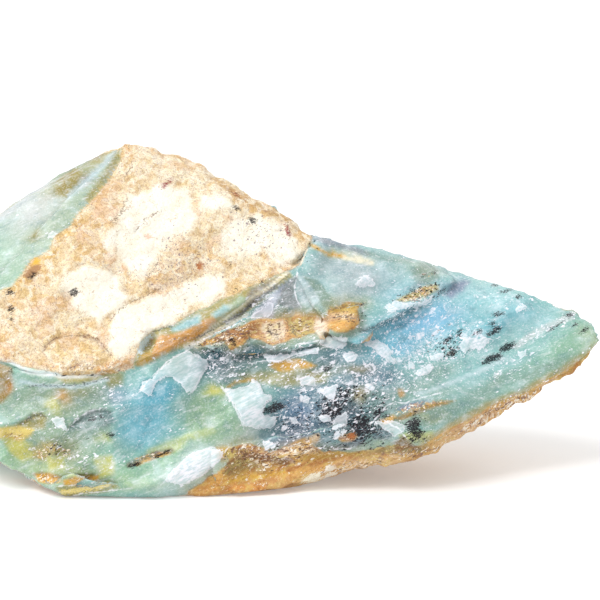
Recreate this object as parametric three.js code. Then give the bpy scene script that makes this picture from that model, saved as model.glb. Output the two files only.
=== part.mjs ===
// Rough Andean opal: one broken piece of pale blue-green opal that still carries its tan host rock.
// Millimetres, +Z up, +X along the length from the thick end to the thin tip.
// The stone lies on a small flat facet at z = 0.
//
// The stone's form is a distance function: two deep convex blocks make the body, shell-shaped
// flake scars are cut out of it, and thin blocks on its front make the host-rock plate, the
// shoulder, the iron-stained ledges and the crust. A capsule is shrunk on that form from outside,
// as clay is pressed on a mould. Then its surface is bent, chipped and made lumpy by smooth
// functions, because no face of a broken stone is truly flat but the one it lies on.
import * as THREE from 'three';
import { ConvexGeometry } from 'three/addons/geometries/ConvexGeometry.js';
import { mergeVertices } from 'three/addons/utils/BufferGeometryUtils.js';

// ---- driving dimensions, mm ----
const MIDDLE = [0, 3.27, 0];      // the box's bottom middle, in the coordinates of the corners below
const SPINE = [[-29, 3, 15], [36, -1, 16]];  // the capsule's axis, well inside the stone
const SPINE_REACH = 34;           // the capsule's radius, clear of the stone
const ROUND_SEGMENTS = 72;        // vertices round the spine
const LENGTH_SEGMENTS = 40;       // vertices along the spine
const CAP_SEGMENTS = 11;          // rings over each end
const TOUCH = 1e-3;               // a vertex this close to the form is on it
const CALM_HEIGHT = 2.5;          // the surface grows rough over this height above the resting facet

// ---- the two deep blocks: corners [x, y, z] ----
// thick left block, with the peak, the left end and the back
const CORE = [
  [-15.9, 8.4, 39.6], [-7.7, 10.2, 37.1], [-1.5, 9, 32.3], [4.5, 6.5, 29], // peak and its right slope
  [-24.1, 13, 35.2], [-31.9, 14, 29.3], [-40.2, 6, 24.1],                 // left slope
  [-43, 2, 24], [-43.5, -6, 18], [-44, -2, 11], [-43, 9, 8],              // left end
  [-38, 16, 22], [-36, 17, 12], [-20, 20, 27], [-18, 20.5, 14],           // back
  [-2, 18.5, 24], [2, 17, 12],
  [-34, -8.6, 14.7], [-27.7, -10.4, 14.1], [-16.5, -10.2, 13.4],          // front, under the host rock
  [-5.1, -7.7, 17.7], [5.7, -2, 25.9],
  [-35.4, -9, 6.1], [-28.4, -12.8, 7.7], [-16.6, -13.8, 6], [-3.8, -13.6, 5.6], // lower front
  [-30.3, -11.5, 3.8], [-24.2, -14.2, 1.4], [-17.9, -14, 0.6], [-6.9, -14.2, 1.5],
  [-26, -12.8, 0], [-8, -13.6, 0], [-33, 6, 0], [-20, 13, 0], [0, 6, 0],  // resting facet
];
// thin right block, the wing, from under the host rock to the tip
const WING = [
  [5.7, -2, 25.9], [8.6, 3, 27.4], [17.3, 5, 25.4], [24.3, 5.5, 24.6],    // ridge
  [27.4, 5, 23.7], [34.4, 4, 21.2], [41.2, 2, 18.9], [44.1, -1, 16.8], [43.3, -2, 15.5],
  [-5.1, -7.7, 17.7], [13, -8.4, 18.5], [37, -6, 13], [28.8, -9.3, 10.3], // front face
  [22.6, -11, 8], [10.3, -12.2, 7.6], [-3.8, -13.6, 5.6],
  [37.1, -4, 11.4], [30.2, -6, 8.2], [23.3, -7.8, 4.2], [14.6, -9, 2.5],  // lower edge
  [6.6, -10, 1], [-1.4, -12.6, 0.3], [-6.9, -14.2, 1.5],
  [-8, -13.6, 0], [6, -9, 0], [6, 8, 0], [-20, 0, 0],                     // resting facet
  [34, 6, 13], [24, 11, 9], [20, 12, 16], [2, 17, 18], [10, 15, 8],       // back
  [-20, 18, 10], [-20, 17, 20], [6, 16, 20],
];

// ---- thin blocks on the front ----
const HOST_ROCK = [
  [-15.6, 7.6, 40], [-12.3, 8.6, 39.1], [-7.7, 9.2, 37.7], [-1, 7.6, 33.1],    // top edge
  [5.3, 5, 30.4], [8.9, 2.2, 28.4],
  [0.2, -5, 22.8], [-5.7, -7, 20.1], [-10.6, -9, 17.2],                        // rim over the opal
  [-16.4, -10.2, 14.9], [-26.4, -10.6, 15.4], [-33.9, -8.6, 17.3],
  [-21.3, 4.9, 34.5], [-25.9, 1, 29.4], [-30.7, -3.8, 23.6], [-37.6, -6.4, 19.4], // left edge
  [-15.8, 9.5, 37], [-1.1, 10, 30], [5.3, 7, 27.5], [6.6, 3, 26.1],            // roots in the body
  [-5.9, -1, 17.4], [-18.2, -5, 13.5], [-34.4, -4, 16], [-31.1, 2, 21.2], [-21.3, 9, 32.5],
];
const SHOULDER = [
  [5.7, -2.9, 26.1], [8.9, 2.4, 28.5], [17.3, 4.6, 25.6], [24.3, 5, 24.9],     // upper edge
  [26.4, 1.6, 23.9], [22.8, -1.6, 22.5], [18.3, -5.4, 20.8], [13.5, -9.4, 18.5], // step to the wing
  [10.5, -8.6, 19.5], [8.1, -6.2, 22.2],
  [8.9, 6, 24], [24.4, 7, 20.5], [25.5, 4, 22], [13.6, -4, 17.6], [6.6, 2, 24.4],
];
const LEDGE = [
  [-6.2, -8.5, 17.6], [-4, -7.3, 19.6], [0.5, -6.6, 21], [6.6, -6.8, 21.1], [9.7, -7.1, 21.2],
  [-1.7, -9.6, 17.4], [5.4, -9.8, 17.8], [9.3, -9.2, 18.9],
  [-4.5, -5, 17.2], [6.6, -4, 20.4], [9.8, -4, 18.9], [5.4, -6, 16.8], [-0.8, -6, 16.2],
];
const LEDGE_END = [
  [9.8, -6.6, 22.2], [14.2, -5.6, 22.7], [13.7, -7.8, 21.2], [12.1, -9.2, 20], [9.5, -9.2, 19.7],
  [9.8, -3, 21.2], [13.7, -3, 21.9], [12.8, -4, 18.9], [9.6, -4, 18.9],
];
const CRUST = [
  [-4.1, -13.9, 6], [0.5, -13.4, 7.4], [6.6, -13.1, 8.2], [12.1, -12.7, 9.2],  // upper edge
  [17, -12, 8.3], [22.3, -10.6, 6.5],
  [19.6, -9, 4.2], [14.6, -10.2, 3], [6.6, -11.3, 1.5], [1.9, -12.4, 0.8],     // lower edge
  [-1.2, -13.4, 0.5], [-3.9, -14.4, 2.6],
  [0.4, -9, 5.5], [12.2, -8, 7.1], [21.5, -7, 5.5], [6.6, -8, 0.9], [-3.3, -10, 1.5],
];

// ---- flake scars and pits ----
// at: the middle of the scar on the old surface; out: the way it faces; long: the way its longer
// half axis runs; half: half length and half width of its rim; deep: its depth in the middle
const BODY_SCARS = [
  { at: [28.7, -5.6, 16.1], out: [0.12, -0.74, 0.66], long: [0.87, 0, 0.5], half: [13, 9], deep: 1.2 },
  { at: [-19.6, -13.1, 6.9], out: [-0.05, -0.95, -0.25], long: [1, 0, 0.2], half: [4.4, 3.8], deep: 1 },
  { at: [-26.5, -12.6, 6.4], out: [-0.25, -0.92, -0.3], long: [1, 0, 0], half: [3.6, 3.4], deep: 0.9 },
  { at: [-11.1, -12, 9.6], out: [0, -0.98, 0.1], long: [0.87, 0, 0.5], half: [6, 4.6], deep: 0.9 },
  { at: [-6.6, -13.9, 3.3], out: [0.1, -0.95, -0.3], long: [0.9, 0, 0.4], half: [4.6, 2.4], deep: 0.6 },
  { at: [1.9, -9.9, 14.9], out: [0, -0.95, 0.25], long: [1, 0, 0.1], half: [9.5, 2.6], deep: 0.9 },
  { at: [9, -11.5, 10.9], out: [0, -0.98, 0.15], long: [1, 0, 0.2], half: [7, 4], deep: 0.6 },
  { at: [-33, 8, 29], out: [-0.6, -0.25, 0.76], long: [0.78, 0, 0.62], half: [5.5, 3.5], deep: 0.6 },
  { at: [-43.5, 1, 16], out: [-1, 0, 0.1], long: [0, 0.87, 0.5], half: [8, 6], deep: 1.4 },
  { at: [-42, 10, 10], out: [-0.86, 0.48, -0.2], long: [0.5, 0.9, 0], half: [6, 5], deep: 1.2 },
  { at: [-36, -6, 5], out: [-0.6, -0.4, -0.7], long: [0.8, -0.3, -0.5], half: [6, 5], deep: 0.9 },
  { at: [-32, 18, 17], out: [-0.24, 0.97, 0.1], long: [0.5, 0, 0.87], half: [10, 7], deep: 1.8 },
  { at: [-10, 19.3, 22], out: [0.1, 0.97, 0.2], long: [0.94, 0, 0.3], half: [9, 6.5], deep: 1.6 },
  { at: [-12, 18, 10.3], out: [0, 0.95, -0.3], long: [1, 0, 0.16], half: [10, 5.5], deep: 1.5 },
  { at: [11.6, 14.5, 13.7], out: [0.25, 0.95, 0.2], long: [0.94, 0, 0.3], half: [11, 6.5], deep: 1.6 },
  { at: [27.7, 8.7, 14.7], out: [0.36, 0.86, 0.36], long: [0.94, 0, 0.3], half: [9, 5], deep: 1.3 },
  { at: [24, 9, 8], out: [0.3, 0.7, -0.65], long: [1, 0, 0.16], half: [8, 5], deep: 1.1 },
  { at: [-0.3, 16, 24], out: [0.2, 0.7, 0.7], long: [1, 0, 0], half: [8, 5], deep: 1.2 },
];
const FRONT_SCARS = [
  { at: [15.6, -2.6, 22.6], out: [0.08, -0.72, 0.69], long: [0.9, 0, 0.4], half: [7.5, 4], deep: 0.6 },
  { at: [-21.9, -4.6, 23.6], out: [0.05, -0.82, 0.57], long: [0.3, 0, -0.9], half: [1.3, 0.9], deep: 0.8 },
  { at: [-26.9, -2.6, 26.8], out: [0.05, -0.82, 0.57], long: [0.9, 0, 0.6], half: [1.5, 0.9], deep: 0.7 },
  { at: [-11.9, -7.9, 18.4], out: [0.05, -0.85, 0.5], long: [0.4, 0, 0.9], half: [1.5, 0.8], deep: 0.8 },
];
const SCAR_REACH = 1.6;           // a scar cuts no higher than its sphere does at this many half
const STEEPEST_RIM = 0.95;        // lengths from its middle, or this share of its sphere's radius

// ---- the grain of the break: flakes come off along the bedding ----
const BEDDING = [                 // along the bedding, across it towards the back, and up through it
  new THREE.Vector3(0.88, -0.1, 0.46).normalize(),
  new THREE.Vector3(0.2, 0.97, -0.16).normalize(),
  new THREE.Vector3(-0.43, 0.23, 0.87).normalize(),
];
const CHIP = { size: 6, stretch: [1.6, 1, 0.7], curl: 1.3, slope: 1.6, lift: 0.5 };
const CHIP_HEIGHT = 0.8;
const LUMP = { size: 7, stretch: [1.3, 1, 0.9], curl: 1, slope: 0, lift: 0.3 };
const LUMP_HEIGHT = 0.9;
const LEVEL = 0.5;                // the middle value of the chips and the lumps
const DEPTH = new THREE.Vector3(0, 0.97, -0.24).normalize();  // from the front face to the back
const WAVES = [                   // slow bends along the depth: the way each runs, length and height
  { runs: [0.9, 0.3, 0.3], length: 31, height: 0.7, phase: 1.3 },
  { runs: [-0.4, 0.8, 0.5], length: 19, height: 0.5, phase: 4.1 },
  { runs: [0.3, -0.5, 0.8], length: 13, height: 0.35, phase: 2.7 },
  { runs: [0.7, 0.1, -0.7], length: 8.3, height: 0.2, phase: 5.2 },
];

/** How far a point is outside a convex block of given corners, negative inside. */
function blockForm(corners) {
  const faces = new ConvexGeometry(corners.map((corner) => new THREE.Vector3(...corner)));
  const spots = faces.attributes.position;
  const planes = [];
  for (let i = 0; i < spots.count; i += 3) {
    const [a, b, c] = [0, 1, 2].map((k) => new THREE.Vector3().fromBufferAttribute(spots, i + k));
    planes.push(new THREE.Plane().setFromCoplanarPoints(a, b, c));
  }
  return (point) => planes.reduce((most, plane) => Math.max(most, plane.distanceToPoint(point)), -Infinity);
}

/** How far a point is outside the lens of a flake scar: a cap of a sphere, squeezed across its length. */
function scarForm({ at, out, long, half, deep }) {
  const [halfLength, halfWidth] = half;
  const radius = (halfLength ** 2 + deep ** 2) / (2 * deep);
  const squeeze = halfLength / halfWidth;
  const widest = Math.min(SCAR_REACH * halfLength, STEEPEST_RIM * radius);
  const top = radius - deep - Math.sqrt(radius ** 2 - widest ** 2);
  const normal = new THREE.Vector3(...out).normalize();
  const along = new THREE.Vector3(...long).projectOnPlane(normal).normalize();
  const across = new THREE.Vector3().crossVectors(along, normal);
  const middle = new THREE.Vector3(...at);
  const offset = new THREE.Vector3();
  return (point) => {
    offset.subVectors(point, middle);
    const height = offset.dot(normal);
    const reach = Math.hypot(offset.dot(along), offset.dot(across) * squeeze, height - radius + deep);
    return Math.max((reach - radius) / squeeze, height - top);
  };
}

const coreForm = blockForm(CORE);
const wingForm = blockForm(WING);
const hostRockForm = blockForm(HOST_ROCK);
const thinForms = [hostRockForm, ...[SHOULDER, LEDGE, LEDGE_END, CRUST].map(blockForm)];
const bodyScarForms = BODY_SCARS.map(scarForm);
const frontScarForms = FRONT_SCARS.map(scarForm);

/** How far a point is outside the stone before its surface is roughened, negative inside. */
function stoneForm(point) {
  let distance = Math.min(coreForm(point), wingForm(point));
  for (const form of bodyScarForms) {
    distance = Math.max(distance, -form(point));
  }
  for (const form of thinForms) {
    distance = Math.min(distance, form(point));
  }
  for (const form of frontScarForms) {
    distance = Math.max(distance, -form(point));
  }
  return Math.max(distance, -point.z);
}

/** A repeatable number from 0 to 1 for a cell of space. */
function cellNumber(i, j, k, which) {
  const value = Math.sin(i * 127.1 + j * 311.7 + k * 74.7 + which * 53.3) * 43758.5453;
  return value - Math.floor(value);
}

/** Shell-shaped hollows that meet in crests, one for each cell of space. */
function chips(point, { size, stretch, curl, slope, lift }) {
  const q = BEDDING.map((direction, axis) => point.dot(direction) / (size * stretch[axis]));
  const cell = q.map(Math.floor);
  let lowest = Infinity;
  for (let n = 0; n < 27; n += 1) {
    const i = cell[0] + Math.floor(n / 9) - 1;
    const j = cell[1] + (Math.floor(n / 3) % 3) - 1;
    const k = cell[2] + (n % 3) - 1;
    const x = q[0] - i - cellNumber(i, j, k, 1);
    const y = q[1] - j - cellNumber(i, j, k, 2);
    const z = q[2] - k - cellNumber(i, j, k, 3);
    const tilt = (cellNumber(i, j, k, 4) - 0.5) * x
      + (cellNumber(i, j, k, 5) - 0.5) * y
      + (cellNumber(i, j, k, 6) - 0.5) * z;
    const height = curl * (x * x + y * y + z * z) + slope * tilt + lift * cellNumber(i, j, k, 7);
    lowest = Math.min(lowest, height);
  }
  return lowest;
}

/** How far the slow bends push a point along the depth. */
function bend(point) {
  return WAVES.reduce((push, { runs, length, height, phase }) => {
    const turns = new THREE.Vector3(...runs).normalize().dot(point) / length;
    return push + height * Math.sin(2 * Math.PI * turns + phase);
  }, 0);
}

/** A capsule round the spine, with each vertex drawn in towards the spine until it meets the form. */
function shrunkCapsule() {
  const [left, right] = SPINE.map((end) => new THREE.Vector3(...end));
  const axis = new THREE.Vector3().subVectors(right, left);
  let geometry = new THREE.CapsuleGeometry(
    SPINE_REACH, axis.length(), CAP_SEGMENTS, ROUND_SEGMENTS, LENGTH_SEGMENTS,
  );
  geometry.deleteAttribute('normal');
  geometry.deleteAttribute('uv');
  geometry = mergeVertices(geometry, TOUCH);
  const index = Array.from(geometry.index.array);
  const faces = [];
  for (let i = 0; i < index.length; i += 3) {
    const [a, b, c] = index.slice(i, i + 3);
    if (a !== b && b !== c && c !== a) {
      faces.push(a, b, c);
    }
  }
  geometry.setIndex(faces);

  const upright = new THREE.Vector3(0, 1, 0);
  const turn = new THREE.Quaternion().setFromUnitVectors(upright, axis.clone().normalize());
  const middle = left.clone().lerp(right, 0.5);
  const spine = new THREE.Line3(left, right);
  const { position } = geometry.attributes;
  const point = new THREE.Vector3();
  const root = new THREE.Vector3();
  const inward = new THREE.Vector3();
  for (let i = 0; i < position.count; i += 1) {
    point.fromBufferAttribute(position, i).applyQuaternion(turn).add(middle);
    spine.closestPointToPoint(point, true, root);
    inward.subVectors(root, point).normalize();
    let gap = stoneForm(point);
    while (gap > TOUCH) {
      point.addScaledVector(inward, gap);
      gap = stoneForm(point);
    }
    if (point.z < 2 * TOUCH) {
      point.z = 0;
    }
    position.setXYZ(i, point.x, point.y, point.z);
  }
  geometry.computeVertexNormals();
  return geometry;
}

/** The finished surface: bent everywhere, chipped on the opal and lumpy on the host rock. */
function roughened(geometry) {
  const { position, normal } = geometry.attributes;
  const point = new THREE.Vector3();
  const outward = new THREE.Vector3();
  for (let i = 0; i < position.count; i += 1) {
    point.fromBufferAttribute(position, i);
    outward.fromBufferAttribute(normal, i);
    const chipped = CHIP_HEIGHT * (chips(point, CHIP) - LEVEL);
    const lumpy = LUMP_HEIGHT * (LEVEL - chips(point, LUMP));
    const hostRock = 1 - THREE.MathUtils.smoothstep(hostRockForm(point), 0.1, 0.6);
    const push = THREE.MathUtils.lerp(chipped, lumpy, hostRock);
    const calm = THREE.MathUtils.smoothstep(point.z, 0, CALM_HEIGHT);
    const bent = bend(point);
    point.addScaledVector(DEPTH, calm * bent).addScaledVector(outward, calm * push);
    position.setXYZ(i, point.x, point.y, point.z);
  }
  geometry.translate(-MIDDLE[0], -MIDDLE[1], -MIDDLE[2]);
  geometry.computeVertexNormals();
  return geometry;
}

function buildStone() {
  const opal = new THREE.MeshStandardMaterial({ color: 0x9cc4c4, roughness: 0.35, metalness: 0 });
  const stone = new THREE.Mesh(roughened(shrunkCapsule()), opal);
  stone.name = 'opal_stone';
  return stone;
}

const part = new THREE.Group();
part.add(buildStone());

export default part;
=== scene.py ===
"""Looks of the rough Andean opal: its broken surface, its colours and its finish.

The solid of the frame gives the stone's size and place. Its form is made again here from nearly the
same corners and flake scars, on a fine grid, and then gets the small relief and the markings.
Lengths are millimetres in the coordinates of those corners, until the mesh is moved into the frame
and turned to metres. Markings on the side that the camera sees are placed by drawing coordinates,
pixels of the 600 x 600 frame, x to the right and y down, 8 pixels to a millimetre.
"""
import itertools
import math
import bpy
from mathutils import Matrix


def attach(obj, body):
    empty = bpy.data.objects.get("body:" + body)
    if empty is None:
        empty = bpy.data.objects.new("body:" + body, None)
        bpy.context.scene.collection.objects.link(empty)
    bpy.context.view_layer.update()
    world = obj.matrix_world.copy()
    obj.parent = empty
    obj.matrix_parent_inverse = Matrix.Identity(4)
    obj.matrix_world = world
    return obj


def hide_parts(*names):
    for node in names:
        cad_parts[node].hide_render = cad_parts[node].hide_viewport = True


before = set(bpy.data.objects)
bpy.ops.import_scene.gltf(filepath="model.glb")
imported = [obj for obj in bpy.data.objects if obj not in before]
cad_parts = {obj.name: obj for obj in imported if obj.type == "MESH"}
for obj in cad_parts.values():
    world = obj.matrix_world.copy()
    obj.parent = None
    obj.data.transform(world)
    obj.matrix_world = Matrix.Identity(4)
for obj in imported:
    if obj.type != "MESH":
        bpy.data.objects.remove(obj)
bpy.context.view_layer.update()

from types import SimpleNamespace

import bpy
import numpy as np
import openvdb
from mathutils import Matrix, Vector

# ---- the view ----
METRE = 0.001                     # one millimetre in metres
MIDDLE = np.array([0, 3.27, 0])   # the frame's origin, in corner coordinates
VIEW_TILT = math.radians(14)      # the camera looks down by this much
VIEW_TARGET = np.array([6.6, 0, 21.7])
VIEW_DISTANCE = 420
PIXELS_PER_MM = 8                 # at the target
DRAWING_SIDE = 600
SENSOR = 36
RIGHT = np.array([1, 0, 0])
AHEAD = np.array([0, math.cos(VIEW_TILT), -math.sin(VIEW_TILT)])
ABOVE = np.array([0, math.sin(VIEW_TILT), math.cos(VIEW_TILT)])
EYE = VIEW_TARGET - VIEW_DISTANCE * AHEAD

# ---- the form: corners of the convex blocks, nearly as in the solid ----
CORE = [                          # thick left block, with the peak, the left end and the back
    (-15.9, 8.4, 39.6), (-7.7, 10.2, 37.1), (-1.5, 9, 32.3), (4.5, 6.5, 29),
    (-24.1, 13, 35.2), (-31.9, 14, 29.3), (-40.2, 6, 24.1),
    (-43, 2, 24), (-43.5, -6, 18), (-44, -2, 11), (-43, 9, 8),
    (-38, 16, 22), (-36, 17, 12), (-20, 20, 27), (-18, 20.5, 14),
    (-2, 18.5, 24), (2, 17, 12),
    (-34, -8.6, 14.7), (-27.7, -10.4, 14.1), (-16.5, -10.2, 13.4),
    (-5.1, -7.7, 17.7), (5.7, -2, 25.9),
    (-35.4, -9, 6.1), (-28.4, -12.8, 7.7), (-16.6, -13.8, 6), (-3.8, -13.6, 5.6),
    (-30.3, -11.5, 4.2), (-25.8, -13.4, 2.4), (-22.6, -14.2, 1.2), (-17.9, -14, 0.6),
    (-6.9, -14.2, 1.5), (-22.4, -12.8, 0), (-8, -13.6, 0), (-33, 6, 0), (-20, 13, 0), (0, 6, 0),
]
WING = [                          # thin right block, from under the host rock to the tip
    (5.7, -2, 25.9), (8.6, 3, 27.4), (17.3, 5, 24.9), (24.3, 5.5, 24.6),
    (27.4, 5, 23.7), (31, 4.5, 22.9), (34.4, 4, 21.9), (38, 3, 20.9), (41.2, 2, 19.6), (43.1, 0.5, 18.6),
    (44.1, -1, 16.8), (42.4, 2.8, 16.4), (43.3, -2, 15.9),
    (-5.1, -7.7, 17.7), (13, -8.4, 18.5), (37, -6, 13), (28.8, -9.3, 10.3),
    (22.6, -11, 8), (10.3, -12.2, 7.6), (-3.8, -13.6, 5.6),
    (37.1, -4, 11.3), (35.3, -4.6, 10.7), (30.2, -6, 8.3), (23.3, -7.8, 4.2), (14.6, -9, 2.5),
    (6.6, -10, 1), (-1.4, -12.6, 0.3), (-6.9, -14.2, 1.5),
    (-8, -13.6, 0), (6, -9, 0), (6, 8, 0), (-20, 0, 0),
    (34, 6, 13), (24, 11, 9), (20, 12, 16), (2, 17, 18), (10, 15, 8),
    (-20, 18, 10), (-20, 17, 20), (6, 16, 20),
]
HOST_ROCK = [
    (-15.6, 7.6, 40.3), (-12.3, 8.6, 39.7), (-7.7, 9.2, 38), (-1, 7.6, 33.3),
    (5.3, 5, 30.9), (6.8, 4, 30.3), (8.6, 2.2, 29),
    (0.2, -5, 22.8), (-5.7, -7, 20.1), (-10.6, -9, 17.2),
    (-16.4, -10.2, 14.9), (-26.4, -10.6, 15.4), (-33.9, -8.6, 17.3),
    (-21.3, 4.9, 34.5), (-25.9, 1, 29.4), (-30.7, -3.8, 23.6), (-37.6, -6.4, 19.4),
    (-15.8, 9.5, 37), (-1.1, 10, 30), (5.3, 7, 27.5), (6.6, 3, 26.1),
    (-5.9, -1, 17.4), (-18.2, -5, 13.5), (-34.4, -4, 16), (-31.1, 2, 21.2), (-21.3, 9, 32.5),
]
SHOULDER = [
    (5.7, -2.9, 26.1), (8.9, 2.4, 29.4), (12.5, 3.5, 27.7), (17.3, 4.6, 25), (24.3, 5, 24.9),
    (26.4, 1.6, 23.9), (22.8, -1.6, 22.5), (18.3, -5.4, 20.8), (13.5, -9.4, 18.5),
    (10.5, -8.6, 19.5), (8.1, -6.2, 22.2),
    (8.9, 6, 24), (24.4, 7, 20.5), (25.5, 4, 22), (13.6, -4, 17.6), (6.6, 2, 24.4),
]
LEDGE = [
    (-6.2, -8.5, 17.6), (-4, -7.3, 19.6), (0.5, -6.6, 21), (6.6, -6.8, 21.1), (9.7, -7.1, 21.2),
    (-1.7, -9.6, 17.4), (5.4, -9.8, 17.8), (9.3, -9.2, 18.9),
    (-4.5, -5, 17.2), (6.6, -4, 20.4), (9.8, -4, 18.9), (5.4, -6, 16.8), (-0.8, -6, 16.2),
]
LEDGE_END = [
    (9.8, -6.6, 22.2), (14.2, -5.6, 22.7), (13.7, -7.8, 21.2), (12.1, -9.2, 20), (9.5, -9.2, 19.7),
    (9.8, -3, 21.2), (13.7, -3, 21.9), (12.8, -4, 18.9), (9.6, -4, 18.9),
]
CRUST = [
    (-4.1, -13.9, 6), (0.5, -13.4, 7.4), (6.6, -13.1, 8.2), (12.1, -12.7, 9.2),
    (17, -12, 8.3), (22.3, -10.6, 6.5),
    (19.6, -9, 4.2), (14.6, -10.2, 3), (6.6, -11.3, 1.5), (1.9, -12.4, 0.8),
    (-1.2, -13.4, 0.5), (-3.9, -14.4, 2.6),
    (0.4, -9, 5.5), (12.2, -8, 7.1), (21.5, -7, 5.5), (6.6, -8, 0.9), (-3.3, -10, 1.5),
]

# ---- flake scars: middle, the way it faces, the way its longer half runs, half lengths, depth ----
BODY_SCARS = [
    ((28.7, -5.6, 16.1), (0.12, -0.74, 0.66), (0.87, 0, 0.5), (13, 9), 1.2),
    ((-19.6, -13.1, 6.9), (-0.05, -0.95, -0.25), (1, 0, 0.2), (4.4, 3.8), 1),
    ((-26.5, -12.6, 6.4), (-0.25, -0.92, -0.3), (1, 0, 0), (3.6, 3.4), 0.9),
    ((-11.1, -12, 9.6), (0, -0.98, 0.1), (0.87, 0, 0.5), (6, 4.6), 0.9),
    ((-6.6, -13.9, 3.3), (0.1, -0.95, -0.3), (0.9, 0, 0.4), (4.6, 2.4), 0.6),
    ((1.9, -9.9, 14.9), (0, -0.95, 0.25), (1, 0, 0.1), (9.5, 2.6), 0.9),
    ((9, -11.5, 10.9), (0, -0.98, 0.15), (1, 0, 0.2), (7, 4), 0.6),
    ((-7.4, -13.9, 0.7), (0, -0.75, -0.66), (1, 0, 0), (2.9, 1.7), 0.8),
    ((-43.5, 1, 16), (-1, 0, 0.1), (0, 0.87, 0.5), (8, 6), 1.4),
    ((-42, 10, 10), (-0.86, 0.48, -0.2), (0.5, 0.9, 0), (6, 5), 1.2),
    ((-36, -6, 5), (-0.6, -0.4, -0.7), (0.8, -0.3, -0.5), (6, 5), 0.9),
    ((-32, 18, 17), (-0.24, 0.97, 0.1), (0.5, 0, 0.87), (10, 7), 1.8),
    ((-10, 19.3, 22), (0.1, 0.97, 0.2), (0.94, 0, 0.3), (9, 6.5), 1.6),
    ((-12, 18, 10.3), (0, 0.95, -0.3), (1, 0, 0.16), (10, 5.5), 1.5),
    ((11.6, 14.5, 13.7), (0.25, 0.95, 0.2), (0.94, 0, 0.3), (11, 6.5), 1.6),
    ((27.7, 8.7, 14.7), (0.36, 0.86, 0.36), (0.94, 0, 0.3), (9, 5), 1.3),
    ((24, 9, 8), (0.3, 0.7, -0.65), (1, 0, 0.16), (8, 5), 1.1),
    ((-0.3, 16, 24), (0.2, 0.7, 0.7), (1, 0, 0), (8, 5), 1.2),
]
FRONT_SCARS = [
    ((-21.9, -4.6, 23.6), (0.05, -0.82, 0.57), (0.3, 0, -0.9), (1.3, 0.9), 0.8),
    ((-26.9, -2.6, 26.8), (0.05, -0.82, 0.57), (0.9, 0, 0.6), (1.5, 0.9), 0.7),
    ((-11.9, -7.9, 18.4), (0.05, -0.85, 0.5), (0.4, 0, 0.9), (1.5, 0.8), 0.8),
]
SCAR_REACH = 1.6                  # a scar's lens ends this many half lengths from its middle
STEEPEST_RIM = 0.95               # or at this share of its radius, if that is nearer

# ---- the grain of the break ----
BEDDING = np.array([               # along the layers of the opal, into the picture and across them
    (0.88, -0.1, 0.46), (0.2, 0.97, -0.16), (-0.43, 0.23, 0.87),
])
BEDDING /= np.linalg.norm(BEDDING, axis=1)[:, None]
DEPTH = np.array([0, 0.97, -0.24]) / math.hypot(0.97, 0.24)    # the way that slow bends push
WAVES = [                         # the way each slow bend runs, its length, height and phase
    ((0.9, 0.3, 0.3), 31, 0.7, 1.3),
    ((-0.4, 0.8, 0.5), 19, 0.5, 4.1),
    ((0.3, -0.5, 0.8), 13, 0.35, 2.7),
    ((0.7, 0.1, -0.7), 8.3, 0.2, 5.2),
]
CHIP = {"size": 6, "stretch": (1.6, 1, 0.7), "curl": 1.3, "slope": 1.6, "lift": 0.5}
CHIP_HEIGHT = 0.8
LUMP = {"size": 7, "stretch": (1.3, 1, 0.9), "curl": 1, "slope": 0, "lift": 0.3}
LUMP_HEIGHT = 0.9
MIDDLE_CHIP = {"size": 3, "stretch": (2, 1, 0.7), "curl": 1.3, "slope": 1.8, "lift": 0.6}
FINE_CHIP = {"size": 1.3, "stretch": (1.8, 1, 0.7), "curl": 1.2, "slope": 1.4, "lift": 0.5}
PEBBLE = {"size": 2, "stretch": (1, 1, 1), "curl": 1.2, "slope": 0.6, "lift": 0.6}
LEVEL = 0.5                       # about the mean height of chips
CALM_HEIGHT = 2.5                 # the surface grows rough over this height above the resting facet
POINT_ROUNDS = 2                  # how often the grid's points are relaxed
NORMAL_ROUNDS = 4                 # and the way in which relief pushes them
ROCK_FADE = (0.1, 0.6)            # this far outside the host rock its lumps turn to chips
WING_FADE = (16, 30)              # along here the large chips grow flatter
WING_CALM = 0.75
FRONT_FADE = (-0.1, 0.15)         # cosine to the camera at which the drawn side starts and is full
CRUST_FACES_DOWN = 0.4            # elsewhere crust covers what faces down by more than about this
BACK_ROCK_X = -21                 # and host rock what lies past all three of these
BACK_ROCK_Y = 5.5
BACK_ROCK_Z = 25

# ---- how the drawing is laid on ----
LOOSE = 14                        # how much soft spots are wobbled, in pixels
TIGHT = 5                         # and outlines
STROKE_FULL = 0.4                 # a stroke is full up to this many half widths from its run
STROKE_END = 1.4                  # and ends at this many
FLAKE_RAISE = 1.6                 # millimetres for a flake that is raised by 1
FLAKE_MARGIN = 4                  # a flake's lightness reaches this far past its outline, in pixels
PLAIN_FLAKE = 0.8                 # the lightness farther away
CLIFF_EDGE = 0.12                 # half the width of a cliff's face, in millimetres
CLIFF_TAPER = 0.15                # share of its run in which a cliff rises from nothing
FAR_OFF = 3                       # behind, every mark is taken to be this far away, in millimetres
MASK_EDGE = (-0.04, 0.06)         # where rock and crust start and are full, in millimetres inside
MARK_EDGE = (-0.03, 0.05)         # and flakes, marks and stains
CLAST_SCALE = 0.42                # cells in a millimetre

# ---- floor and lights, in metres and watts ----
FLOOR_REACH = 3.0
LIGHT_TARGET = (0, 0, 0.02)
WINDOW = {"at": (-0.34, -0.28, 0.6), "side": 0.35, "power": 4.0}
BACK_GLOW = {"at": (0.2, 0.6, 0.6), "side": 0.6, "power": 1.5}
ROUND_LIGHT = 0.8

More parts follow.
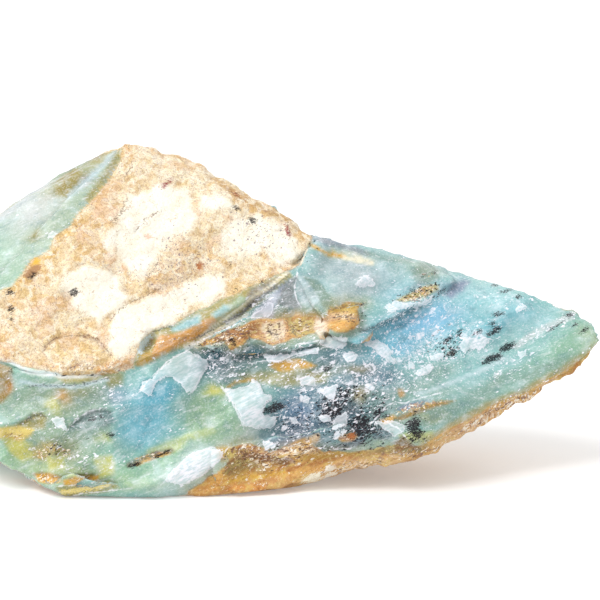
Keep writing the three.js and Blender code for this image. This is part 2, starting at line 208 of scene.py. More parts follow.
# ---- the fine grid: cells grow from front to back ----
FRONT_CELL = 0.25
BACK_CELL = 0.56
FRONT_Y = -16
BACK_Y = 22
HALF_LENGTH = 47
LOW_Z = -1.5
HIGH_Z = 42.5
BLOCK = 4                         # fine cells along a coarse block
NEAR = 1.2                        # fine cells fill the blocks this near to the surface
FAR = 3                           # the form's value away from the surface, in cells
CHUNK = 100000                    # points that are worked out at a time
TOUCH = 1e-6


def smooth(low, high, value):
    """Rises from 0 at low to 1 at high, without corners."""
    share = np.clip((value - low) / (high - low), 0, 1)
    return share * share * (3 - 2 * share)


def unit(vector):
    return np.array(vector, float) / np.linalg.norm(vector)


def block_form(corners):
    """How far points are outside the convex block of these corners, negative inside."""
    spots = np.array(corners, float)
    triples = np.array(list(itertools.combinations(range(len(spots)), 3)))
    a, b, c = (spots[triples[:, k]] for k in range(3))
    normal = np.cross(b - a, c - a)
    length = np.linalg.norm(normal, axis=1)
    solid = length > TOUCH
    normal = normal[solid] / length[solid, None]
    a = a[solid]
    offset = np.sum(normal * a, axis=1)
    height = normal @ spots.T - offset[:, None]
    upper = height.max(axis=1) < TOUCH
    lower = height.min(axis=1) > -TOUCH
    planes = np.concatenate([
        np.column_stack([normal[upper], offset[upper]]),
        -np.column_stack([normal[lower], offset[lower]]),
    ])
    planes = np.unique(planes.round(6), axis=0).astype(np.float32)
    return lambda points: (points @ planes[:, :3].T - planes[:, 3]).max(axis=1)


def scar_form(at, out, long, half, deep):
    """How far points are outside the lens of a flake scar: a cap of a sphere, squeezed sideways."""
    half_length, half_width = half
    radius = (half_length ** 2 + deep ** 2) / (2 * deep)
    squeeze = half_length / half_width
    widest = min(SCAR_REACH * half_length, STEEPEST_RIM * radius)
    top = radius - deep - math.sqrt(radius ** 2 - widest ** 2)
    normal = unit(out)
    along = unit(np.array(long) - np.dot(long, normal) * normal)
    across = np.cross(along, normal)
    turn = np.array([along, across * squeeze, normal]).T.astype(np.float32)

    def form(points):
        offset = (points - np.array(at, np.float32)) @ turn
        height = offset[:, 2].copy()
        offset[:, 2] += deep - radius
        reach = np.linalg.norm(offset, axis=1)
        return np.maximum((reach - radius) / squeeze, height - top)
    return form


core_form = block_form(CORE)
wing_form = block_form(WING)
host_rock_form = block_form(HOST_ROCK)
ledge_forms = [block_form(LEDGE), block_form(LEDGE_END)]
crust_form = block_form(CRUST)
thin_forms = [host_rock_form, block_form(SHOULDER), *ledge_forms, crust_form]
body_scars = [scar_form(*scar) for scar in BODY_SCARS]
front_scars = [scar_form(*scar) for scar in FRONT_SCARS]


def stone_form(points):
    """How far points are outside the stone before its surface is roughened."""
    distance = np.minimum(core_form(points), wing_form(points))
    for form in body_scars:
        distance = np.maximum(distance, -form(points))
    for form in thin_forms:
        distance = np.minimum(distance, form(points))
    for form in front_scars:
        distance = np.maximum(distance, -form(points))
    return np.maximum(distance, -points[:, 2])


def grid_point(index):
    """The place of a grid index. Each layer is the one before it, scaled up a little."""
    growth = (BACK_CELL - FRONT_CELL) / (BACK_Y - FRONT_Y)
    cell = FRONT_CELL * np.exp(growth * index[:, 1])
    x = (index[:, 0] - grid_shape[0] / 2) * cell
    y = FRONT_Y + (cell - FRONT_CELL) / growth
    z = (LOW_Z + HIGH_Z) / 2 + (index[:, 2] - grid_shape[2] / 2) * cell
    return np.column_stack([x, y, z]).astype(np.float32), cell.astype(np.float32)


def whole_blocks(length):
    return BLOCK * math.ceil(length / BLOCK)


layers = math.log(BACK_CELL / FRONT_CELL) * (BACK_Y - FRONT_Y) / (BACK_CELL - FRONT_CELL)
grid_shape = tuple(whole_blocks(n) for n in (
    2 * HALF_LENGTH / FRONT_CELL, layers, (HIGH_Z - LOW_Z) / FRONT_CELL,
))


def chunked(form, points):
    return np.concatenate([form(points[i:i + CHUNK]) for i in range(0, len(points), CHUNK)])


def stone_surface():
    """Points and four-sided faces of the form's surface, on the grid."""
    coarse_shape = tuple(n // BLOCK for n in grid_shape)
    coarse = np.stack(np.indices(coarse_shape), axis=-1).reshape(-1, 3)
    points, cell = grid_point(coarse * BLOCK + (BLOCK - 1) / 2)
    level = chunked(stone_form, points) / cell
    near = np.abs(level) < NEAR * BLOCK
    values = np.where(level > 0, FAR, -FAR).astype(np.float32).reshape(coarse_shape)
    for axis in range(3):
        values = values.repeat(BLOCK, axis=axis)
    steps = np.stack(np.indices((BLOCK, BLOCK, BLOCK)), axis=-1).reshape(-1, 3)
    fine = (coarse[near][:, None, :] * BLOCK + steps[None, :, :]).reshape(-1, 3)
    points, cell = grid_point(fine)
    values[tuple(fine.T)] = np.clip(chunked(stone_form, points) / cell, -FAR, FAR)
    grid = openvdb.FloatGrid(FAR)
    grid.copyFromArray(np.ascontiguousarray(values))
    index, _, quads = grid.convertToPolygons(isovalue=0.0, adaptivity=0.0)
    points, _ = grid_point(np.asarray(index, float))
    return points.astype(float), np.asarray(quads, int)


def vertex_normals(points, quads):
    """Outward normals, weighted by the area round each point."""
    corners = points[quads]
    face = np.cross(corners[:, 2] - corners[:, 0], corners[:, 3] - corners[:, 1])
    normals = np.zeros_like(points)
    for axis in range(3):
        weights = np.repeat(face[:, axis], 4)
        normals[:, axis] = np.bincount(quads.ravel(), weights, len(points))
    return normals / np.maximum(np.linalg.norm(normals, axis=1), TOUCH)[:, None]


def relaxed(values, quads, rounds, share=0.5):
    """Values drawn towards the mean of their neighbours along the faces' edges."""
    start = quads.ravel()
    end = np.roll(quads, -1, axis=1).ravel()
    count = np.bincount(start, minlength=len(values)) + np.bincount(end, minlength=len(values))
    for _ in range(rounds):
        mean = np.empty_like(values)
        for axis in range(values.shape[1]):
            column = values[:, axis]
            total = np.bincount(start, column[end], len(values))
            total += np.bincount(end, column[start], len(values))
            mean[:, axis] = total / count
        values = values + share * (mean - values)
    return values


# ---- noise ----
HASH_STEPS = (127.1, 311.7, 74.7, 53.3)
HASH_SPREAD = 43758.5453
OCTAVE_SHIFT = 3.7


def cell_number(i, j, k, which):
    """A repeatable number from 0 to 1 for a cell of space."""
    a, b, c, d = HASH_STEPS
    value = np.sin(i * a + j * b + k * c + which * d) * HASH_SPREAD
    return value - np.floor(value)


def chips(points, size, stretch, curl, slope, lift):
    """Shell-shaped hollows that meet in crests, one for each cell of space."""
    q = points @ BEDDING.T / (size * np.array(stretch))
    cell = np.floor(q)
    lowest = np.full(len(points), np.inf)
    for step in itertools.product((-1, 0, 1), repeat=3):
        i, j, k = (cell + step).T
        away = q - cell - step
        away -= np.column_stack([cell_number(i, j, k, which) for which in (1, 2, 3)])
        tilt = sum((cell_number(i, j, k, 4 + axis) - 0.5) * away[:, axis] for axis in range(3))
        height = curl * np.sum(away ** 2, axis=1) + slope * tilt + lift * cell_number(i, j, k, 7)
        lowest = np.minimum(lowest, height)
    return lowest


def cloud(points, size, which=0):
    """Smooth noise from 0 to 1, with features of about this size, a number or one for each axis."""
    q = points / np.array(size, float)
    cell = np.floor(q)
    share = q - cell
    share = share * share * (3 - 2 * share)
    total = np.zeros(len(points))
    for step in itertools.product((0, 1), repeat=3):
        weight = np.prod(np.where(np.array(step) == 1, share, 1 - share), axis=1)
        i, j, k = (cell + step).T
        total += weight * cell_number(i, j, k, which + 11)
    return total


def clouds(points, size, which=0, rounds=3, roughness=0.5):
    """Sum of finer and finer noise, from 0 to 1."""
    total = np.zeros(len(points))
    weight = 0
    for n in range(rounds):
        share = roughness ** n
        total += share * cloud(points + OCTAVE_SHIFT * n, np.array(size, float) / 2 ** n, which + n)
        weight += share
    return total / weight


# ---- drawing coordinates ----
def drawn(points):
    """Where points lie in the drawing, in pixels."""
    offset = points - EYE
    scale = PIXELS_PER_MM * VIEW_DISTANCE / (offset @ AHEAD)
    return DRAWING_SIDE / 2 + np.column_stack([offset @ RIGHT * scale, -(offset @ ABOVE) * scale])


def nearest_on_line(spot, points):
    """Distance to a run of straight lines, the side (1 is right of the run) and the share of the run."""
    points = np.array(points, float)
    steps = np.diff(points, axis=0)
    lengths = np.linalg.norm(steps, axis=1)
    travelled = np.concatenate([[0], np.cumsum(lengths)])
    gap = np.full(len(spot), np.inf)
    side = np.zeros(len(spot))
    share = np.zeros(len(spot))
    for start, step, length, before in zip(points, steps, lengths, travelled):
        away = spot - start
        along = np.clip(away @ step / length ** 2, 0, 1)
        here = np.linalg.norm(away - along[:, None] * step, axis=1)
        nearer = here < gap
        gap = np.where(nearer, here, gap)
        side = np.where(nearer, np.sign(step[0] * away[:, 1] - step[1] * away[:, 0]), side)
        share = np.where(nearer, (before + along * length) / travelled[-1], share)
    return gap, side, share


def inside(spot, outline):
    """How far spots lie inside a closed outline, negative outside, in pixels."""
    closed = [*outline, outline[0]]
    gap, _, _ = nearest_on_line(spot, closed)
    x, y = spot.T
    within = np.zeros(len(spot), bool)
    for (x1, y1), (x2, y2) in zip(closed, closed[1:]):
        if y1 == y2:
            continue
        crosses = (y1 > y) != (y2 > y)
        within ^= crosses & (x < (x2 - x1) * (y - y1) / (y2 - y1) + x1)
    return np.where(within, gap, -gap)


# ---- colours, as they look in daylight ----
PALETTE = {
    "aqua": (201, 226, 210), "pale_aqua": (184, 220, 226), "sky": (136, 198, 216),
    "deep_sky": (98, 174, 198), "teal": (146, 190, 184), "deep_teal": (72, 118, 130),
    "sea": (150, 196, 190), "mint": (178, 214, 184), "lime": (205, 215, 165), "green": (165, 193, 166),
    "pale_green": (196, 214, 190), "grey_green": (150, 170, 156), "frost": (238, 236, 243),
    "ice": (204, 221, 228), "pearl": (224, 235, 233), "navy": (76, 90, 116), "slate": (102, 126, 136),
    "blue_grey": (112, 142, 170), "lilac": (196, 200, 218), "mauve": (178, 166, 166),
    "dusk": (140, 148, 176), "olive": (174, 160, 88), "dark_olive": (126, 122, 84),
    "mustard": (200, 168, 84), "yellow": (226, 203, 112), "ochre": (214, 170, 98),
    "amber": (208, 152, 72), "orange": (222, 152, 78), "rust": (170, 102, 54), "umber": (116, 84, 62),
    "cream": (251, 245, 224), "tan": (235, 209, 162), "pink_tan": (230, 198, 168),
    "sand": (243, 222, 174), "brown": (176, 134, 96), "rose": (236, 196, 172), "grey": (160, 166, 168),
    "shade": (92, 96, 98), "ink": (20, 12, 22), "gold": (228, 182, 72), "lemon": (224, 217, 116),
    "bone": (250, 242, 226), "plum": (124, 100, 112), "crimson": (150, 62, 66), "sage": (152, 176, 164),
    "khaki": (192, 180, 120), "haze": (218, 222, 224), "mist": (200, 214, 196),
    "celadon": (172, 190, 168), "chalk": (255, 251, 238), "dark_gold": (172, 138, 56),
    "straw": (224, 204, 122), "smoke": (158, 166, 172), "azure": (150, 200, 228),
    "lagoon": (166, 206, 208), "honey": (232, 178, 104), "biscuit": (232, 198, 150),
    "shell": (218, 204, 200), "glacier": (197, 211, 216),
}
OPAL_SHADE = (0.84, 0.83, 0.8)    # translucent opal sends back less light than chalk of its colour
OPAL_DEPTH = 1.25                 # and looks more coloured


def linear(name):
    """A colour of the palette as shares of light, by the curve that screens use."""
    share = np.array(PALETTE[name]) / 255
    return np.where(share > 0.04045, ((share + 0.055) / 1.055) ** 2.4, share / 12.92)


# ---- outlines in the drawing ----
ROCK_OUTLINE = [
    (122, 142), (137, 136), (162, 142), (190, 150), (216, 168), (245, 188), (275, 202), (296, 214),
    (312, 236), (307, 250), (300, 264), (288, 271), (271, 277), (253, 285), (241, 292), (221, 298),
    (196, 312), (171, 325), (153, 331), (141, 343), (136, 357), (133, 368), (115, 373), (97, 375),
    (65, 375), (35, 368), (10, 362), (-60, 352), (-60, 292), (0, 292), (13, 287), (23, 273), (32, 259),
    (50, 251), (55, 236), (71, 224), (79, 213), (97, 196), (111, 177), (120, 162),
]
LEDGE_OUTLINE = [
    (197, 347), (206, 340), (214, 337), (228, 331), (240, 326), (252, 321), (262, 319), (285, 318),
    (310, 316), (327, 317), (328, 309), (333, 306), (345, 302), (364, 304), (357, 309), (358, 316),
    (359, 323), (354, 329), (345, 333), (336, 332), (330, 329), (327, 338), (322, 341), (317, 333),
    (308, 334), (300, 338), (292, 338), (286, 342), (280, 343), (272, 346), (262, 341), (250, 338),
    (243, 344), (232, 350), (226, 341), (216, 341), (206, 345),
]
CRUST_OUTLINE = [
    (188, 490), (200, 484), (207, 477), (216, 474), (226, 466), (230, 458), (222, 451), (232, 446),
    (251, 444), (262, 447), (269, 452), (284, 447), (300, 444), (312, 445), (322, 451), (345, 453),
    (365, 451), (380, 448), (400, 445), (424, 446), (440, 440), (452, 428), (470, 418), (490, 407),
    (508, 401), (521, 396), (540, 386), (559, 376), (575, 364), (590, 352), (603, 341), (620, 350),
    (560, 430), (440, 490), (300, 530), (180, 510),
]
LOBES = [
    [(125, 201), (165, 181), (191, 194), (200, 219), (191, 232), (163, 245), (159, 259), (144, 278),
        (133, 273), (111, 251), (102, 240), (115, 219)],
    [(57, 281), (71, 269), (89, 264), (108, 269), (121, 279), (133, 296), (122, 309), (111, 314),
        (101, 325), (77, 309)],
    [(111, 318), (131, 303), (151, 293), (172, 287), (200, 276), (222, 270), (228, 286), (205, 303),
        (185, 316), (160, 330), (140, 345), (118, 357), (106, 345)],
    [(220, 232), (236, 215), (258, 214), (290, 226), (303, 240), (300, 258), (285, 268), (276, 262),
        (262, 250), (246, 252), (232, 262), (221, 250)],
    [(196, 196), (216, 190), (235, 197), (232, 208), (214, 214), (200, 210)],
]
FLAKES = [                        # white frosted flakes: how light, how far raised, outline
    (0.55, 0.22, [(138, 391), (142, 383), (153, 379), (159, 369), (168, 362), (187, 350), (207, 359),
        (208, 365), (201, 376), (193, 392), (188, 393), (180, 385), (172, 376), (163, 378), (153, 387),
        (151, 397)]),
    (0.85, 0.25, [(222, 387), (233, 389), (249, 387), (253, 380), (260, 384), (263, 393), (275, 397),
        (265, 405), (261, 415), (276, 417), (277, 421), (272, 427), (251, 429), (244, 427), (237, 410),
        (229, 397)]),
    (0.95, 0.2, [(165, 481), (173, 468), (191, 454), (214, 447), (224, 448), (220, 460), (207, 471),
        (203, 475), (191, 481), (182, 486), (172, 483)]),
    (1.0, 0.15, [(51, 418), (63, 417), (66, 429), (62, 430), (53, 424)]),
    (0.85, 0.2, [(263, 354), (290, 353), (304, 352), (319, 347), (317, 354), (301, 356), (286, 357),
        (277, 363), (268, 363)]),
    (0.75, 0.2, [(317, 345), (326, 336), (348, 338), (346, 347), (335, 349)]),
    (0.8, 0.12, [(364, 345), (375, 339), (388, 347), (397, 363), (393, 364), (382, 358), (375, 349)]),
    (0.9, 0.12, [(416, 370), (429, 365), (435, 368), (426, 374), (417, 375)]),
    (0.45, 0.15, [(377, 421), (393, 419), (406, 428), (395, 437), (382, 426)]),
    (0.7, 0.12, [(354, 285), (362, 275), (370, 276), (376, 285), (362, 287)]),
    (0.75, 0.15, [(384, 306), (395, 300), (406, 304), (420, 301), (433, 295), (429, 303), (406, 309),
        (391, 313)]),
    (0.95, 0.12, [(298, 378), (315, 376), (315, 387), (301, 386)]),
    (1.0, 0.12, [(315, 390), (337, 385), (335, 399), (326, 399)]),
    (1.0, 0.12, [(262, 440), (270, 438), (275, 446), (266, 450)]),
    (0.95, 0.12, [(460, 344), (467, 335), (476, 338), (487, 334), (489, 341), (480, 350), (470, 348),
        (464, 353)]),
    (1.0, 0.1, [(317, 416), (328, 414), (333, 419), (324, 422)]),
    (1.0, 0.1, [(339, 414), (346, 412), (348, 425), (341, 428), (328, 432)]),
    (0.2, 0.03, [(250, 318), (257, 309), (268, 300), (274, 303), (272, 314), (262, 319)]),
    (0.85, 0.15, [(329, 438), (335, 433), (346, 430), (344, 435), (336, 439)]),
    (0.85, 0.15, [(300, 395), (312, 398), (308, 404), (300, 401)]),
    (0.9, 0.15, [(288, 417), (296, 419), (300, 424), (293, 424)]),
    (0.9, 0.12, [(364, 386), (371, 383), (374, 390), (367, 393)]),
    (0.9, 0.12, [(430, 356), (440, 352), (446, 356), (438, 361), (430, 361)]),
    (0.8, 0.12, [(407, 364), (413, 361), (416, 366), (410, 369)]),
    (0.85, 0.1, [(516, 306), (524, 304), (526, 309), (518, 313)]),
    (0.7, 0.1, [(518, 352), (527, 348), (528, 353), (520, 358)]),
    (0.9, 0.1, [(340, 357), (352, 350), (360, 356), (352, 364)]),
    (0.4, 0.1, [(47, 238), (52, 231), (58, 232), (55, 238)]),
]
INKS = [                          # near-black marks
    [(481, 365), (485, 358), (493, 354), (501, 353), (503, 357), (494, 361), (487, 364)],
    [(499, 349), (505, 344), (515, 341), (515, 346), (508, 351), (501, 353)],
    [(486, 336), (490, 331), (496, 326), (502, 327), (499, 332), (492, 336)],
    [(491, 317), (495, 313), (503, 312), (506, 314), (500, 316)],
    [(488, 325), (495, 321), (496, 324), (491, 327)], [(473, 335), (476, 330), (482, 329), (481, 333)],
    [(456, 336), (459, 330), (463, 329), (460, 336)],
    [(442, 342), (446, 338), (454, 337), (451, 341), (446, 344)],
    [(446, 356), (451, 350), (457, 350), (457, 354), (451, 357)],
    [(579, 334), (583, 329), (588, 326), (588, 330), (583, 333)],
    [(571, 327), (574, 324), (579, 323), (576, 326)], [(563, 316), (569, 313), (575, 313), (571, 316)],
    [(549, 331), (556, 326), (563, 321), (557, 328)], [(491, 286), (494, 283), (499, 283), (497, 286)],
    [(499, 293), (505, 290), (512, 289), (507, 293)], [(515, 297), (519, 294), (522, 297), (518, 299)],
    [(261, 414), (265, 408), (272, 403), (281, 402), (286, 406), (281, 410), (270, 413)],
    [(408, 422), (413, 418), (420, 419), (419, 426), (424, 433), (419, 440), (412, 435), (407, 430)],
    [(105, 435), (110, 433), (117, 434), (112, 437)],
    [(127, 467), (133, 463), (142, 461), (140, 465), (132, 468)],
    [(150, 460), (158, 454), (168, 450), (171, 450), (164, 455), (155, 459)],
    [(90, 418), (93, 416), (96, 420), (91, 421)], [(10, 368), (13, 369), (12, 373), (9, 372)],
    [(72, 289), (76, 288), (78, 292), (76, 296), (71, 296), (69, 292)],
    [(6, 292), (9, 289), (15, 290), (12, 294), (8, 295)], [(6, 309), (11, 306), (15, 308), (11, 313)],
    [(8, 318), (12, 317), (13, 320), (9, 320)], [(31, 313), (34, 313), (33, 316)],
    [(27, 275), (30, 271), (36, 269), (38, 273), (33, 278), (29, 279)],
    [(231, 206), (236, 206), (241, 209), (238, 211)], [(248, 219), (252, 217), (257, 220), (252, 224)],
    [(260, 281), (264, 280), (264, 284)], [(233, 292), (237, 289), (236, 293)],
    [(228, 262), (231, 262), (230, 266)], [(234, 193), (238, 193), (237, 196)],
    [(322, 370), (327, 367), (332, 367), (328, 371)], [(242, 377), (246, 374), (247, 377)],
    [(228, 340), (232, 336), (235, 340), (236, 346), (232, 343)],
    [(268, 331), (271, 329), (272, 334), (269, 335)], [(275, 335), (278, 334), (277, 338)],
    [(358, 305), (362, 303), (366, 304), (362, 306)], [(410, 290), (415, 288), (413, 292)],
    [(420, 276), (426, 273), (424, 277)], [(431, 272), (436, 271), (434, 275)],
]
CRACKS_AND_SHADE_LINES = [                        # thin dark lines: cracks, and painted shade along steps, grooves and the host rock's rim
    [(42, 351), (48, 345), (56, 338), (66, 336), (82, 335), (92, 337), (101, 343), (108, 350),
        (112, 356)],
    [(153, 333), (162, 329), (171, 326)],
    [(111, 320), (121, 310), (131, 302), (140, 298), (151, 292), (160, 287)],
    [(125, 202), (119, 212), (112, 222)], [(159, 260), (156, 268), (150, 276)],
    [(119, 217), (124, 212)], [(139, 228), (145, 225)], [(146, 219), (156, 213)],
    [(127, 175), (131, 167)], [(286, 223), (289, 229), (291, 236)], [(231, 192), (238, 196)],
    # painted shade in the groove under the overhanging rim of the host rock
    [(196, 337), (208, 332), (220, 326), (231, 319), (245, 309), (260, 299), (276, 286), (288, 275)],
    [(286, 321), (291, 330), (298, 338)], [(330, 308), (347, 306), (364, 305)],
    [(333, 318), (345, 317), (357, 318)], [(22, 423), (31, 416), (41, 414), (47, 418)],
    [(30, 385), (60, 386), (90, 384), (108, 379)], [(548, 331), (560, 322), (573, 314)],
    [(262, 349), (285, 351), (300, 349), (312, 349), (318, 343)], [(360, 331), (375, 325), (390, 318)],
]
STAINS = [                        # crisp spots of other colours
    ("crimson", [(160, 188), (165, 182), (172, 178), (171, 182), (165, 187)]),
    ("rust", [(231, 190), (236, 192), (240, 196), (236, 197)]),
    ("crimson", [(284, 223), (288, 227), (289, 232), (291, 237), (287, 236), (285, 229)]),
    ("brown", [(23, 274), (30, 268), (38, 264), (42, 266), (38, 272), (30, 278), (24, 279)]),
    ("gold", [(32, 262), (36, 258), (41, 260), (38, 265), (33, 266)]),
    ("ice", [(137, 358), (138, 349), (142, 341), (149, 334), (153, 336), (147, 344), (143, 352)]),
    ("brown", [(149, 344), (150, 341), (153, 339), (153, 341), (151, 345)]),
    ("rust", [(347, 438), (350, 433), (356, 433), (355, 439), (350, 440)]),
    ("rust", [(196, 264), (202, 262), (204, 266), (201, 271), (197, 270)]),
    ("rose", [(144, 235), (150, 233), (152, 238), (147, 240)]),
    ("bone", [(323, 478), (325, 468), (332, 464), (339, 471), (335, 479), (329, 481)]),
    ("cream", [(300, 482), (310, 474), (322, 471), (322, 479), (312, 484)]),
    ("straw", [(34, 430), (20, 427), (4, 430), (6, 434), (26, 436)]),
    ("straw", [(59, 491), (80, 487), (108, 482), (110, 486), (84, 492), (62, 495)]),
]
# thin pale lines of frost; the first is a painted highlight on the top edge of the step above the slate
# lens
PALE_LINES = [
    [(66, 430), (76, 420), (88, 412), (99, 409)],
    [(376, 419), (386, 407), (395, 403), (405, 403), (420, 399), (440, 393)],
    [(198, 341), (214, 334), (232, 326), (250, 317), (262, 308)],
    [(263, 362), (280, 360), (300, 357), (319, 350)], [(56, 487), (80, 484), (104, 480)],
    [(60, 497), (80, 494), (100, 492), (126, 488)], [(163, 482), (172, 470), (190, 456), (212, 447)],
    [(222, 388), (229, 397), (237, 411), (244, 428)], [(296, 272), (294, 290), (300, 304)],
    [(186, 482), (203, 475), (220, 460), (226, 448)], [(168, 480), (186, 470), (200, 458)],
    [(324, 448), (336, 450), (350, 449)], [(405, 437), (398, 428), (385, 420)],
    [(138, 392), (150, 379), (168, 361), (188, 350)], [(208, 366), (200, 378), (193, 392)],
    [(296, 345), (310, 343), (320, 340)], [(24, 484), (40, 492), (58, 497)],
]
SHADES = [                        # lighter and darker opal, partly painted light and shade: middle, half lengths, turn, factor
    # the first lightens the crevice under the host rock's lower left edge: painted light over its shadow
    (28, 369, 34, 4, 12, 1.6), (440, 325, 70, 26, -18, 1.25), (470, 374, 40, 16, -28, 1.15),
    (45, 215, 80, 50, -35, 0.95), (302, 408, 22, 16, 0, 1.35), (15, 275, 30, 26, 0, 0.9),
    (285, 300, 24, 14, -30, 0.75), (345, 268, 40, 14, 10, 0.9), (560, 350, 40, 14, -28, 0.92),
    (235, 360, 44, 12, 0, 0.78), (268, 305, 22, 12, -30, 0.78), (375, 385, 24, 18, 0, 0.8),
    (290, 430, 18, 10, 0, 0.8), (95, 405, 40, 20, 0, 0.87), (230, 370, 30, 12, 0, 0.88),
    (485, 283, 50, 8, 15, 0.92), (420, 268, 30, 8, 8, 0.92), (40, 398, 30, 14, 0, 0.9),
    (308, 292, 12, 14, 0, 0.88),
]

# ---- filled spots: colour, softness of the edge, strength, outline ----
PATCHES = [
    ("olive", 4, 0.95, [(54, 192), (58, 180), (72, 169), (82, 172), (78, 186), (66, 196)]),
    # lower left
    ("dark_gold", 2, 0.85, [(-20, 362), (0, 362), (13, 367), (12, 380), (8, 396), (3, 403),
        (-20, 404)]),
    ("olive", 3, 0.8, [(18, 424), (31, 415), (41, 413), (48, 418), (44, 429), (30, 431), (18, 429)]),
    ("straw", 2, 0.95, [(-10, 428), (4, 427), (18, 425), (33, 429), (31, 436), (20, 442), (4, 438),
        (-10, 438)]),
    ("lemon", 3, 0.8, [(4, 438), (20, 441), (32, 442), (34, 455), (22, 461), (10, 452)]),
    ("khaki", 2.5, 0.8, [(32, 447), (42, 442), (52, 442), (54, 452), (44, 460), (33, 457)]),
    ("gold", 1.6, 0.95, [(34, 474), (50, 472), (61, 477), (60, 483), (40, 482)]),
    ("gold", 1.6, 0.95, [(62, 481), (75, 476), (99, 475), (97, 481), (80, 484), (64, 486)]),
    ("lemon", 3, 0.7, [(94, 458), (112, 455), (114, 474), (100, 478)]),
    ("lemon", 3, 0.6, [(46, 458), (62, 456), (64, 468), (48, 470)]),
    ("olive", 3, 0.9, [(56, 487), (80, 485), (112, 481), (119, 487), (100, 493), (62, 498)]),
    # slate lens under the step at the lower left, partly painted shade in the hollow below the step
    ("slate", 1.5, 0.6, [(68, 429), (76, 420), (88, 412), (100, 409), (110, 412), (116, 421),
        (108, 428), (92, 430)]),
    ("sage", 8, 0.6, [(66, 429), (96, 425), (118, 424), (112, 438), (90, 440)]),
    ("olive", 4, 0.7, [(100, 374), (124, 372), (122, 384), (110, 388)]),
    ("khaki", 3, 0.9, [(50, 374), (84, 375), (104, 374), (98, 382), (66, 383)]),
    # green face and the white facet's right end
    ("green", 4, 0.7, [(193, 397), (222, 395), (236, 410), (244, 430), (235, 444), (200, 444),
        (186, 425)]),
    ("gold", 3, 0.8, [(216, 447), (230, 445), (232, 456), (222, 462)]),
    # middle
    ("gold", 2, 0.9, [(268, 367), (272, 362), (285, 359), (300, 360), (318, 366), (307, 370),
        (283, 372)]),
    ("khaki", 4, 0.7, [(240, 376), (262, 372), (300, 369), (330, 373), (325, 384), (290, 386),
        (262, 384)]),
    # deep teal band under the ledge, partly painted shade below the ledge
    ("deep_teal", 2, 0.85, [(189, 346), (200, 349), (226, 345), (234, 350), (245, 344), (262, 345),
        (288, 347), (284, 352), (256, 357), (225, 359), (205, 354), (196, 353)]),
    # dark navy in the groove above the crust, partly painted shade in the groove
    ("navy", 3, 0.8, [(320, 449), (335, 446), (350, 442), (362, 436), (366, 440), (357, 448),
        (335, 452)]),
    ("ochre", 1.5, 0.9, [(337, 439), (345, 434), (354, 432), (358, 436), (352, 441), (341, 442)]),
    ("ochre", 2, 0.85, [(284, 448), (296, 441), (312, 436), (320, 434), (318, 440), (306, 447)]),
    ("ochre", 2, 0.8, [(397, 389), (403, 387), (405, 395), (399, 398)]),
    ("slate", 1.5, 0.8, [(372, 428), (380, 426), (394, 434), (390, 441), (374, 440)]),
    ("gold", 1.5, 0.9, [(380, 420), (388, 416), (396, 416), (392, 421), (384, 423)]),
    ("lemon", 3, 0.6, [(398, 435), (410, 432), (424, 432), (434, 430), (432, 438), (415, 442),
        (402, 441)]),
    ("dark_gold", 1.5, 0.95, [(392, 419), (404, 415), (416, 410), (428, 404), (442, 401), (458, 400),
        (448, 404), (430, 410), (414, 416), (400, 420)]),
    ("umber", 2, 0.85, [(391, 443), (402, 436), (412, 444), (417, 450), (400, 450)]),
    ("dusk", 2.5, 0.8, [(396, 411), (404, 405), (418, 402), (430, 400), (420, 406), (408, 410)]),
    # the rim under the host rock
    ("khaki", 1.5, 0.95, [(133, 368), (136, 357), (141, 344), (153, 331), (171, 326), (196, 313),
        (221, 298), (253, 285), (288, 271), (292, 276), (272, 293), (231, 324), (200, 342), (178, 350),
        (154, 360)]),
    ("honey", 1.5, 0.9, [(150, 358), (158, 337), (178, 333), (198, 322), (214, 316), (218, 321),
        (200, 335), (182, 345), (166, 354)]),
    ("gold", 1.5, 0.7, [(136, 366), (141, 356), (150, 352), (152, 360), (142, 367)]),
    ("pale_aqua", 2, 0.95, [(171, 328), (186, 319), (201, 314), (201, 322), (187, 328), (174, 332)]),
    ("pale_aqua", 2, 0.9, [(212, 313), (224, 304), (234, 305), (229, 312), (216, 318)]),
    ("pale_green", 2, 0.9, [(229, 304), (240, 295), (250, 298), (241, 306), (231, 310)]),
    ("mauve", 2, 0.6, [(246, 303), (250, 290), (266, 281), (280, 277), (276, 284), (262, 297),
        (250, 305)]),
    # under the rim
    ("lilac", 1.5, 0.9, [(250, 319), (256, 309), (270, 297), (284, 283), (288, 281), (284, 292),
        (276, 303), (274, 318), (262, 321)]),
    ("grey", 1.5, 0.95, [(284, 284), (297, 274), (294, 290), (303, 306), (295, 309), (284, 306),
        (277, 303)]),
    ("glacier", 4, 0.8, [(296, 272), (312, 279), (325, 293), (330, 303), (312, 306), (302, 303),
        (295, 290)]),
    ("sage", 1.5, 0.9, [(303, 276), (318, 280), (336, 304), (322, 307), (316, 294)]),
    # shoulder
    ("grey_green", 2.5, 0.6, [(410, 269), (425, 264), (438, 268), (440, 280), (428, 285), (415, 281)]),
    ("khaki", 1.6, 0.95, [(396, 300), (403, 295), (415, 291), (424, 287), (438, 285), (440, 290),
        (428, 295), (415, 298), (403, 303)]),
    ("dusk", 3, 0.8, [(446, 295), (452, 284), (464, 279), (471, 281), (462, 291), (452, 298)]),
    # wing
    ("sage", 7, 0.7, [(424, 412), (448, 404), (478, 394), (500, 384), (496, 396), (470, 410),
        (446, 424)]),
]

